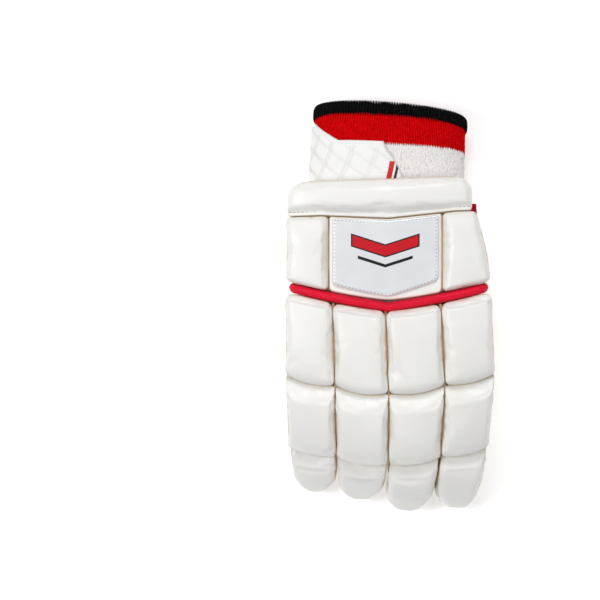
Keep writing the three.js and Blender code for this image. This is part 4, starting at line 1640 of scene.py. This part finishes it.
@dataclass
class Thumb:
    """The thumb, folded under the palm with its pads on the floor."""

    x: float = 36.0
    y: float = 54.0
    yaw: float = 13.0
    pitch: float = 34.0
    root: float = 24.0
    bend: float = 36.0
    length: float = 88.0
    width: float = 27.0
    height: float = 15.0
    pad_thick: float = 15.0
    pad_press: float = 1.2
    pad_overhang: float = 3.0
    pad_start: float = 20.0
    pad_seat: float = 0.5
    tip_pad_length: float = 40.0
    past: float = 2.0
    floor_gap: float = 0.2

    def __post_init__(self) -> None:
        """Works out the thumb's side view."""
        self.view = SideView([(-self.root, self.pitch), (0, self.pitch), (self.bend, 0), (self.length, 0)])
        self.start_ahead = float(self.view.at(np.array([0.0]))[0, 0])
        self.deepest = float(self.view.at(np.array([self.length]))[0, 1])

    def place(self, u: Array, t: Array, h: Array) -> Array:
        """Returns points of the thumb, whose pads face the floor.

        Args:
            u: how far across they lie.
            t: how far along.
            h: how far out of the leather.

        Returns:
            Points in the row frame, in millimetres.
        """
        u, t, h = np.broadcast_arrays(*(np.asarray(x, float) for x in (u, t, h)))
        forward, down, pitch = np.moveaxis(self.view.at(t), -1, 0)
        lie = self.pad_thick - self.pad_press + self.deepest - down
        yaw = math.radians(self.yaw)
        ahead = forward - self.start_ahead - h * np.sin(pitch)
        x = self.x + u * math.cos(yaw) - ahead * math.sin(yaw)
        y = self.y - u * math.sin(yaw) - ahead * math.cos(yaw)
        return np.stack([x, y, lie - h * np.cos(pitch)], -1) - ORIGIN

    def stall(self) -> bpy.types.Object:
        """Builds the thumb's thin leather tube.

        Returns:
            The mesh object.
        """
        half = self.width / 2
        stall = Stall(self.place, root=-8.0, tip=self.length, rise=self.height / 2, gap=0.0,
                      sides=lambda t: (-half, half), power=lambda t: 3, steps=40, around=48)
        loops = stall.loops()
        faces = tube_faces(len(loops), stall.around, close=True)
        return make_piece("thumb_stall_leather", lift(loops, self.floor_gap), faces, seam=0.0)

    def pad(self, node: str, low: float, high: float, corner: float) -> Pad:
        """Returns one pad between two distances along the thumb.

        Args:
            node: the CAD node that it stands for.
            low: where it starts.
            high: where it ends.
            corner: how round its end is.

        Returns:
            The pad, not built yet.
        """
        reach = self.width / 2 + self.pad_overhang
        return Pad(node, self.place, flat_edge(-reach), flat_edge(reach), flat_edge(low + ROW_GAP / 2),
                   flat_edge(high - ROW_GAP / 2), self.pad_thick, end_corner=corner,
                   end_taper=corner * 1.2, end_round=min(corner, 6.0), seat=self.pad_seat)

    def pads(self) -> list[Pad]:
        """Returns the two pads on the thumb's back.

        Returns:
            The pads, not built yet.
        """
        end = self.length + self.past
        joint = end - self.tip_pad_length
        return [self.pad("thumb_base_pad", self.pad_start, joint, 3.5),
                self.pad("thumb_tip_pad", joint, end, 14.0)]

    def dress(self, palette: Palette) -> None:
        """Builds and dresses the thumb's leather."""
        dress(self.stall(), palette.palm, "palm_leather", "thumb_stall")


@dataclass
class Gusset:
    """The red fabric between the hand's index side and the thumb."""

    past: float = 5.0
    length: float = 50.0
    proud: float = 7.6
    thick: float = 15.0
    drop: float = 4.0
    depth: float = 9.0
    shares: tuple[float, ...] = (0, 0.12, 0.5, 0.85, 1)
    out: tuple[float, ...] = (0.97, 1, 0.78, 0.4, 0.05)
    deep: tuple[float, ...] = (0.5, 0.8, 1, 0.7, 0.3)
    steps: int = 24
    around: int = 36

    def build(self) -> bpy.types.Object:
        """Builds the fabric as one closed, folded piece.

        Returns:
            The mesh object.
        """
        middle_z = PALM_Z + PALM_HEIGHT / 2 - self.drop
        a, b = oval(full_turn(self.around), 3)
        loops = []
        for v in np.linspace(0, 1, self.steps):
            y = WRIST + self.past - v * self.length
            side = float(shell_half_width(-y)) + np.interp(v, self.shares, self.out) * self.proud
            x = side - self.depth / 2 + a * self.depth / 2
            z = middle_z + b * self.thick * np.interp(v, self.shares, self.deep) / 2
            loops.append(np.stack([x, np.full_like(x, y), z], -1) - ORIGIN)
        faces = tube_faces(self.steps, self.around) + end_faces(self.steps, self.around)
        loops = np.array(loops)
        loops += ripple(loops, 5, 2.0)[..., None] * np.array([0.5, 0, 0.3])
        return make_piece("thumb_gusset_fabric", loops, faces, valley=0.0)

    def dress(self, palette: Palette) -> None:
        """Builds and dresses the fabric."""
        dress(self.build(), palette.gusset, "red_fabric", "thumb_gusset")


# The cuff and its strap


class Knit(Enum):
    """The cuff's three knitted colours."""

    TOWELLING = "towelling"
    BAND = "band"
    HEM = "hem"


@dataclass(frozen=True)
class KnitShape:
    """One colour of the cuff: its ends, its steps along it, how its ribs and yarn stand out, and how much
    shade is painted between its ribs.
    """

    low: float
    high: float
    step: float
    rib: float
    rough: float
    valley: float


@dataclass
class Cuff:
    """The knitted cuff, from the wrist's seam to its rim."""

    length: float = 67.0
    towelling: float = 41.0
    band: float = 17.7
    pitch: float = 23.0
    yaw: float = 4.7
    rim_x: float = 1.5
    rim_half_width: float = 52.5
    rim_half_height: float = 23.0
    rim_power: float = 2.2
    sink: float = 2.5
    seam_x: float = -1.5
    seam_gap: float = 0.5
    seam_power: float = 3.4
    knit: float = 3.0
    scallop: float = 1.1
    hem_turn: float = 1.0
    slack: float = 0.35
    ribs: int = 142
    per_rib: int = 4
    hem_count: int = 128
    hem_height: float = 3.0
    hem_blunt: float = 3.2
    hem_past: float = 1.5
    hem_lift: float = 1.6

    def __post_init__(self) -> None:
        """Works out each colour's place along the cuff."""
        self.hem_start = self.towelling + self.band
        self.shapes = {
            Knit.TOWELLING: KnitShape(0.0, self.towelling, 0.75, 0.06, 0.7, 0.25),
            Knit.BAND: KnitShape(self.towelling, self.hem_start, 0.8, 0.35, 0.35, 1.0),
            Knit.HEM: KnitShape(self.hem_start, self.length - self.hem_turn, 0.8, 0.1, 0.1, 1.0),
        }

    def point(self, angle: Array, v: Array, out: Array) -> Array:
        """Returns points over the cuff.

        Args:
            angle: the way round it, from the index side over the back.
            v: the share of the way from the seam to the rim.
            out: the distance out of its outer face.

        Returns:
            Points in the row frame, in millimetres.
        """
        angle, v, out = np.broadcast_arrays(*(np.asarray(x, float) for x in (angle, v, out)))
        a, b = oval(angle, lerp(self.seam_power, self.rim_power, v))
        pitch, yaw = math.radians(self.pitch), math.radians(self.yaw)
        u = self.seam_x + a * (HAND_WIDTH * SHELL_SHARE[0] + out)
        across = u / HALF
        fall = SIDE_FALL * across - ARCH * across**2
        middle = PALM_HEIGHT / 2
        seam_y = WRIST + self.seam_gap
        seam = np.stack([u, np.full_like(u, seam_y),
                         PALM_Z + middle + b * (middle + out) + fall * (b + 1) / 2], -1)
        width, rise = a * (self.rim_half_width + out), b * (self.rim_half_height + out)
        rim = np.stack([self.rim_x + width * math.cos(yaw),
                        seam_y + self.length - width * math.sin(yaw) + rise * math.sin(pitch),
                        self.rim_half_height * math.cos(pitch) - self.sink + rise * math.cos(pitch)], -1)
        return lift(seam + (rim - seam) * v[..., None], np.maximum(-out, 0.02)) - ORIGIN

    def even_angles(self, v: float, count: int) -> Array:
        """Returns the angles of evenly spaced points round the cuff at v.

        Args:
            v: the share of the way from the seam to the rim.
            count: how many points there are.

        Returns:
            The angles, in radians.
        """
        angles = np.linspace(0, 2 * np.pi, 2001)
        loop = self.point(angles, v, 0.0)
        run = np.concatenate([[0], np.cumsum(np.linalg.norm(np.diff(loop, axis=0), axis=1))])
        return np.interp(np.linspace(0, run[-1], count, endpoint=False), run, angles)

    def part(self, kind: Knit) -> bpy.types.Object:
        """Builds one colour of the cuff, its outside ribbed and its inside plain.

        Args:
            kind: which colour.

        Returns:
            The mesh object.
        """
        shape = self.shapes[kind]
        count = self.ribs * self.per_rib
        angles = self.even_angles((shape.low + shape.high) / 2 / self.length, count)
        wave = np.cos(np.arange(count) / self.per_rib * 2 * np.pi)
        rows = max(int(round((shape.high - shape.low) / shape.step)), 3)
        loops = []
        for k, length in enumerate(np.linspace(shape.low, shape.high, rows + 1)):
            share = k / rows
            shift = self.scallop * wave * ((1 - share) * (shape.low > 0) + share)
            v = np.clip((length + shift) / self.length, 0, 1.02)
            loops.append(self.point(angles, v, shape.rib * wave))
        outer = np.array(loops)
        bumps = ripple(outer, 1.5, 4.0) * shape.rough + ripple(outer, 9, 1.0) * self.slack
        outer = lift(outer + outward(outer) * bumps[..., None])
        inside = np.array([self.point(angles, length / self.length, -self.knit)
                           for length in np.linspace(shape.high, shape.low, 4)])
        # The inside takes a middle share of painted shade, and the outside takes more between its ribs
        valleys = np.concatenate([np.tile(shape.valley * (0.5 - 0.5 * wave), rows + 1),
                                  np.full(inside[..., 0].size, 0.5)])
        loops = np.concatenate([outer, lift(inside, self.knit)])
        faces = tube_faces(len(loops), count, close=True)
        return make_piece(f"cuff_{kind.value}_knit", loops, faces, valley=valleys)

    def hem_ribs(self, row: Row, finish: bpy.types.Material) -> bpy.types.Object:
        """Builds the raised ribs of the hem, side by side all the way round.

        Args:
            row: the tree that lays the ribs.
            finish: their yarn.

        Returns:
            The mesh object.
        """
        middle = (self.hem_start + self.length) / 2 / self.length + 0.004
        angles = self.even_angles(middle, 400)
        points = self.point(angles, middle, 0.5)
        lie = self.point(angles, middle + 0.05, 0.5) - self.point(angles, middle - 0.05, 0.5)
        out = self.point(angles, middle, 1.5) - points
        points = lift(points, self.hem_lift)
        pitch = np.linalg.norm(np.roll(points, -1, 0) - points, axis=1).sum() / self.hem_count
        rib = Rod(pitch, self.length - self.hem_start + self.hem_past, pitch, self.hem_height,
                  self.hem_blunt)
        ribs = row.lay("cuff_hem_ribs", rib, points, lie, out, finish, closed=True)
        put_points(ribs.data, points_of(ribs.data))
        return ribs

    def dress(self, row: Row, palette: Palette) -> None:
        """Builds and dresses the three colours and the hem's ribs.

        Args:
            row: the tree that lays the ribs.
            palette: the glove's finishes.
        """
        dress(self.part(Knit.TOWELLING), palette.towelling, "towelling", "cuff_towelling")
        dress(self.part(Knit.BAND), palette.red_knit, "red_knit", "cuff_band")
        dress(self.part(Knit.HEM), palette.black_knit, "black_knit", "cuff_hem")
        dress(self.hem_ribs(row, palette.black_knit), palette.black_knit, "black_knit")


@dataclass
class Strap:
    """The embossed strap that wraps the cuff, from its slanted tip on the back to its sewn end.

    Its places round the cuff are in turns.
    """

    cuff: Cuff
    tip: float = 0.2425
    slant: float = 0.0225
    shoulder: float = 0.335
    side: float = 0.45
    under: float = 0.6
    end: float = 0.825
    first_angle: float = math.pi / 40
    start: float = 13.4
    width: float = 28.8
    flare: float = 12.7
    thick: float = 1.8
    seat: float = 0.6
    lattice: float = 17.0
    lattice_lean: float = 1.05
    groove_offset: float = 1.1
    groove_half: float = 0.42
    groove_depth: float = 0.7
    # How dark the painted shade in the grooves and stitch dots is
    painted_groove_shade: float = 0.4
    border: float = 2.2
    border_half: float = 0.35
    dot_pitch: float = 2.4
    dot_depth: float = 0.55
    edge_round: float = 1.2
    bar_lean: float = 0.75
    floor_gap: float = 0.1
    columns: int = 300
    rows: int = 60

    def build(self) -> bpy.types.Object:
        """Builds the strap with its grooves, the painted shade in them, and numbers for its printed bars.

        Returns:
            The mesh object.
        """
        way = np.linspace(self.tip, self.end, self.columns)
        widening = np.clip((way - self.shoulder) / (self.side - self.shoulder), 0, 1)
        narrowing = np.clip((way - self.side) / (self.under - self.side), 0, 1)
        wide = self.width + self.flare * (widening - narrowing)
        s = np.linspace(0, 1, self.rows)[:, None]
        fade = np.clip((self.shoulder - way) / (self.shoulder - self.tip), 0, 1)
        angle = (way - self.slant * (1 - s) * fade) * 2 * np.pi + self.first_angle
        down = s * wide
        v = (self.start + down) / self.cuff.length
        base = self.cuff.point(angle, v, self.seat)
        steps = np.linalg.norm(np.diff(base, axis=1), axis=-1)
        run = np.concatenate([np.zeros((self.rows, 1)), np.cumsum(steps, axis=1)], 1)
        edge = np.minimum(np.minimum(down, wide - down), run)
        groove = self.grooves(run, down) * smooth_step(3.2, 3.8, edge)
        dots = self.dots(run, down - wide / 2, edge)
        top = self.seat + self.thick * (0.35 + 0.65 * shoulder(edge, self.edge_round))
        upper = self.cuff.point(angle, v, top - self.groove_depth * groove - self.dot_depth * dots)
        points = np.concatenate([upper.reshape(-1, 3), base.reshape(-1, 3)])
        count = self.columns * self.rows
        rim = grid_rim(self.rows, self.columns)
        faces = grid_faces(self.rows, self.columns) + grid_faces(self.rows, self.columns, count)
        faces += band_faces(rim, rim + count)
        # Painted shade: the pressed grooves and stitch dots are darkened
        painted_shade = np.clip(groove + dots, 0, 1).ravel() * self.painted_groove_shade
        return make_piece("wrist_strap_vinyl", lift(points, self.floor_gap), faces,
                          groove=np.concatenate([painted_shade, np.zeros(count)]),
                          across_bars=np.tile((run + self.bar_lean * down).ravel(), 2),
                          up_strap=np.tile(down.ravel(), 2))

    def grooves(self, run: Array, down: Array) -> Array:
        """Returns the pressed lattice, from 0 to 1, at distances along and down the strap.

        Args:
            run: distances along the strap.
            down: distances down it.

        Returns:
            How deep each point is pressed.
        """
        groove = np.zeros_like(run)
        for sign in (1, -1):
            across = (run + sign * (down - self.width / 2) * self.lattice_lean) / self.lattice
            offset = np.abs(across - np.round(across)) * self.lattice
            line = np.exp(-((offset - self.groove_offset) / self.groove_half) ** 2)
            groove = np.maximum(groove, line)
        return groove

    def dots(self, run: Array, aside: Array, edge: Array) -> Array:
        """Returns the pressed dots of the border's stitches, from 0 to 1.

        Args:
            run: distances along the strap.
            aside: distances from its middle.
            edge: distances in from its edge.

        Returns:
            How deep each point is pressed.
        """
        border = np.exp(-((edge - self.border) / self.border_half) ** 2)
        wave = np.sin(run * 2 * np.pi / self.dot_pitch) * (np.abs(aside) > 4)
        return border * (0.5 + 0.5 * np.sign(wave + 0.3))

    def dress(self, palette: Palette) -> None:
        """Builds and dresses the strap."""
        dress(self.build(), palette.strap, "strap_vinyl", "wrist_strap")


@dataclass
class Trim:
    """The glossy plate of the badge and the red piping along the knuckles."""

    back: BackPads
    margin: float = 2.6
    top_margin: float = 1.2
    vee: float = 4.5
    lean: float = 0.065
    badge_lift: float = 13.6
    badge_thick: float = 2.0
    stitch: Rod = Rod(pitch=2.6, length=1.7, width=0.45, height=0.4)
    stitch_inset: float = 1.5
    piping_height: float = 16.5
    piping_inset: float = 2.5
    end_reach: float = 7.0
    end_rise: float = 0.7
    end_round: float = 2.5
    kink: float = 1.3
    kink_reach: float = 8.0
    wrinkle_size: float = 3.0
    wrinkle_depth: float = 0.25
    steps: int = 180
    around: int = 24

    def plate(self) -> Pad:
        """Returns the shape of the badge's domed plate.

        Returns:
            The plate's pad, not built yet.
        """
        back = self.back
        side = COLUMN_GAP / 2 + self.margin

        def lower_edge(u: Array) -> Array:
            """Returns the plate's lower edge, which rises away from its point."""
            slope = self.vee * np.abs(u / back.badge_index) + self.lean * u
            return back.bottom(u) - self.margin - slope

        return Pad(
            "badge_plate", on_hand, flat_edge(back.badge_little + side),
            flat_edge(back.badge_index - side), lambda u: back.top(u) + self.top_margin, lower_edge,
            thick=self.badge_thick, start_corner=2.0, end_corner=5.0, side_round=2.2, end_round=2.2,
            ramp=1.0, ramp_drop=0.0, crown=0.35, low_edge=0.3, seat=self.badge_lift, columns=60,
            rows=60, suffix="vinyl", stuffed=False)

    def dress_badge(self, row: Row, palette: Palette) -> None:
        """Builds and dresses the badge's plate and the stitches round it.

        Args:
            row: the tree that lays the stitches.
            palette: the glove's finishes.
        """
        plate = self.plate()
        dress(plate.build(), palette.badge, "badge_vinyl", "badge_plate")
        low = plate.ring(self.stitch_inset, plate.thick * 0.97)
        high = plate.ring(self.stitch_inset, plate.thick + 1)
        stitches = row.lay("badge_stitches", self.stitch, low, along_path(low, True), high - low,
                           palette.grey_thread, closed=True)
        dress(stitches, palette.grey_thread, "badge_vinyl")

    def piping(self) -> bpy.types.Object:
        """Builds the red leather roll between the back and the fingers, with its pulled wrinkles.

        Returns:
            The mesh object.
        """
        left, right = self.back.little + self.piping_inset, self.back.index - self.piping_inset
        u = np.linspace(left, right, self.steps)
        from_end = np.minimum(u - left, right - u)
        rise = lerp(self.end_rise, 1, np.minimum(from_end / self.end_reach, 1))
        taper = shoulder(from_end, self.end_round) * 0.6 + 0.4
        a, b = oval(full_turn(self.around), 2.4)
        half = self.back.piping_width / 2
        loops = []
        for place, up, thin in zip(u, rise, taper):
            wave = noise.noise(Vector((place / self.wrinkle_size, 4.0, 0))) * self.wrinkle_depth
            top = self.piping_height * up
            h = SEAT + top / 2 + b * (top / 2 + wave) * (0.75 + 0.25 * thin)
            t = -half + a * (half + wave) * thin + self.kink * math.exp(-abs(place) / self.kink_reach)
            loops.append(on_hand(np.full_like(t, place), t, h))
        faces = tube_faces(self.steps, self.around) + end_faces(self.steps, self.around)
        return make_piece("knuckle_piping_leather", np.array(loops), faces, seam=0.0)

    def dress_piping(self, palette: Palette) -> None:
        """Builds and dresses the piping."""
        dress(self.piping(), palette.piping, "red_piping", "knuckle_piping")


# Scene


@dataclass(frozen=True)
class Lamp:
    """One soft lamp: which way it stands from the glove, and its power in watts."""

    name: str
    x: float
    y: float
    power: float


@dataclass(frozen=True)
class Studio:
    """A pale floor, soft light from above and a camera that looks straight down, in metres."""

    centre: tuple[float, float] = (-0.0633, 0.0022)
    view_width: float = 0.42
    height: float = 6.0
    sharp_z: float = 0.06
    sensor: float = 36.0
    ring: float = 1.1
    lamp_height: float = 1.3
    lamp_size: float = 0.55
    lamps: tuple[Lamp, ...] = (Lamp("cuff_lamp", 0, 1, 10.6), Lamp("tip_lamp", 0, -1, 3.8),
                               Lamp("little_lamp", -1, 0, 11.4), Lamp("index_lamp", 1, 0, 5.0))
    sky: float = 0.2
    floor_half: float = 2.5
    paper: Colour = (0.96, 0.96, 0.96)
    paper_glow: float = 0.32

    def camera(self) -> None:
        """Makes the camera over the middle of the picture."""
        data = bpy.data.cameras.new("camera")
        data.sensor_width = self.sensor
        data.lens = self.sensor * (self.height - self.sharp_z) / self.view_width
        data.clip_end = 50
        camera = bpy.data.objects.new("camera", data)
        camera.location = (*self.centre, self.height)
        bpy.context.scene.collection.objects.link(camera)
        bpy.context.scene.camera = camera

    def floor(self) -> None:
        """Makes the plain pale floor."""
        half = self.floor_half
        mesh = bpy.data.meshes.new("floor")
        mesh.from_pydata([(-half, -half, 0), (half, -half, 0), (half, half, 0), (-half, half, 0)], [],
                         [(0, 1, 2, 3)])
        floor = bpy.data.objects.new("floor", mesh)
        finish = Finish("floor_paper")
        finish.set(Base_Color=self.paper, Roughness=0.9, Specular_IOR_Level=0.1,
                   Emission_Color=(1.0, 1.0, 1.0), Emission_Strength=self.paper_glow)
        mesh.materials.append(finish.material)
        bpy.context.scene.collection.objects.link(floor)

    def light(self, lamp: Lamp) -> None:
        """Adds one square soft light that faces the glove.

        Args:
            lamp: where it stands and how strong it is.
        """
        data = bpy.data.lights.new(lamp.name, "AREA")
        data.shape, data.size, data.energy = "SQUARE", self.lamp_size, lamp.power
        light = bpy.data.objects.new(lamp.name, data)
        light.location = (lamp.x * self.ring, lamp.y * self.ring, self.lamp_height)
        light.rotation_euler = (-light.location).to_track_quat("-Z", "Y").to_euler()
        light.visible_camera = False
        bpy.context.scene.collection.objects.link(light)

    def build(self) -> None:
        """Makes the camera, floor, lights and sky."""
        self.camera()
        self.floor()
        for lamp in self.lamps:
            self.light(lamp)
        world = bpy.data.worlds.new("studio")
        world.use_nodes = True
        background = world.node_tree.nodes["Background"]
        background.inputs["Color"].default_value = (1, 1, 1, 1)
        background.inputs["Strength"].default_value = self.sky
        bpy.context.scene.world = world
        bpy.context.scene.view_settings.view_transform = "Standard"


def main() -> None:
    """Builds the glove and its studio."""
    logging.basicConfig(level=logging.INFO, format="%(message)s")
    Studio().build()
    palette, row = Palette(), Row("rods")
    back, thumb, cuff = BackPads(), Thumb(), Cuff()
    trim = Trim(back)
    dress_pads([*FingerRolls().pads(), *back.pads(), *thumb.pads()], palette.white)
    SeamShadeStrips().dress(back, palette.seam_shade_leather)
    Body().dress(row, palette)
    thumb.dress(palette)
    Gusset().dress(palette)
    trim.dress_badge(row, palette)
    back.dress_stitches(row, palette.wrist_thread)
    trim.dress_piping(palette)
    cuff.dress(row, palette)
    Strap(cuff).dress(palette)


if __name__ == "__main__":
    main()
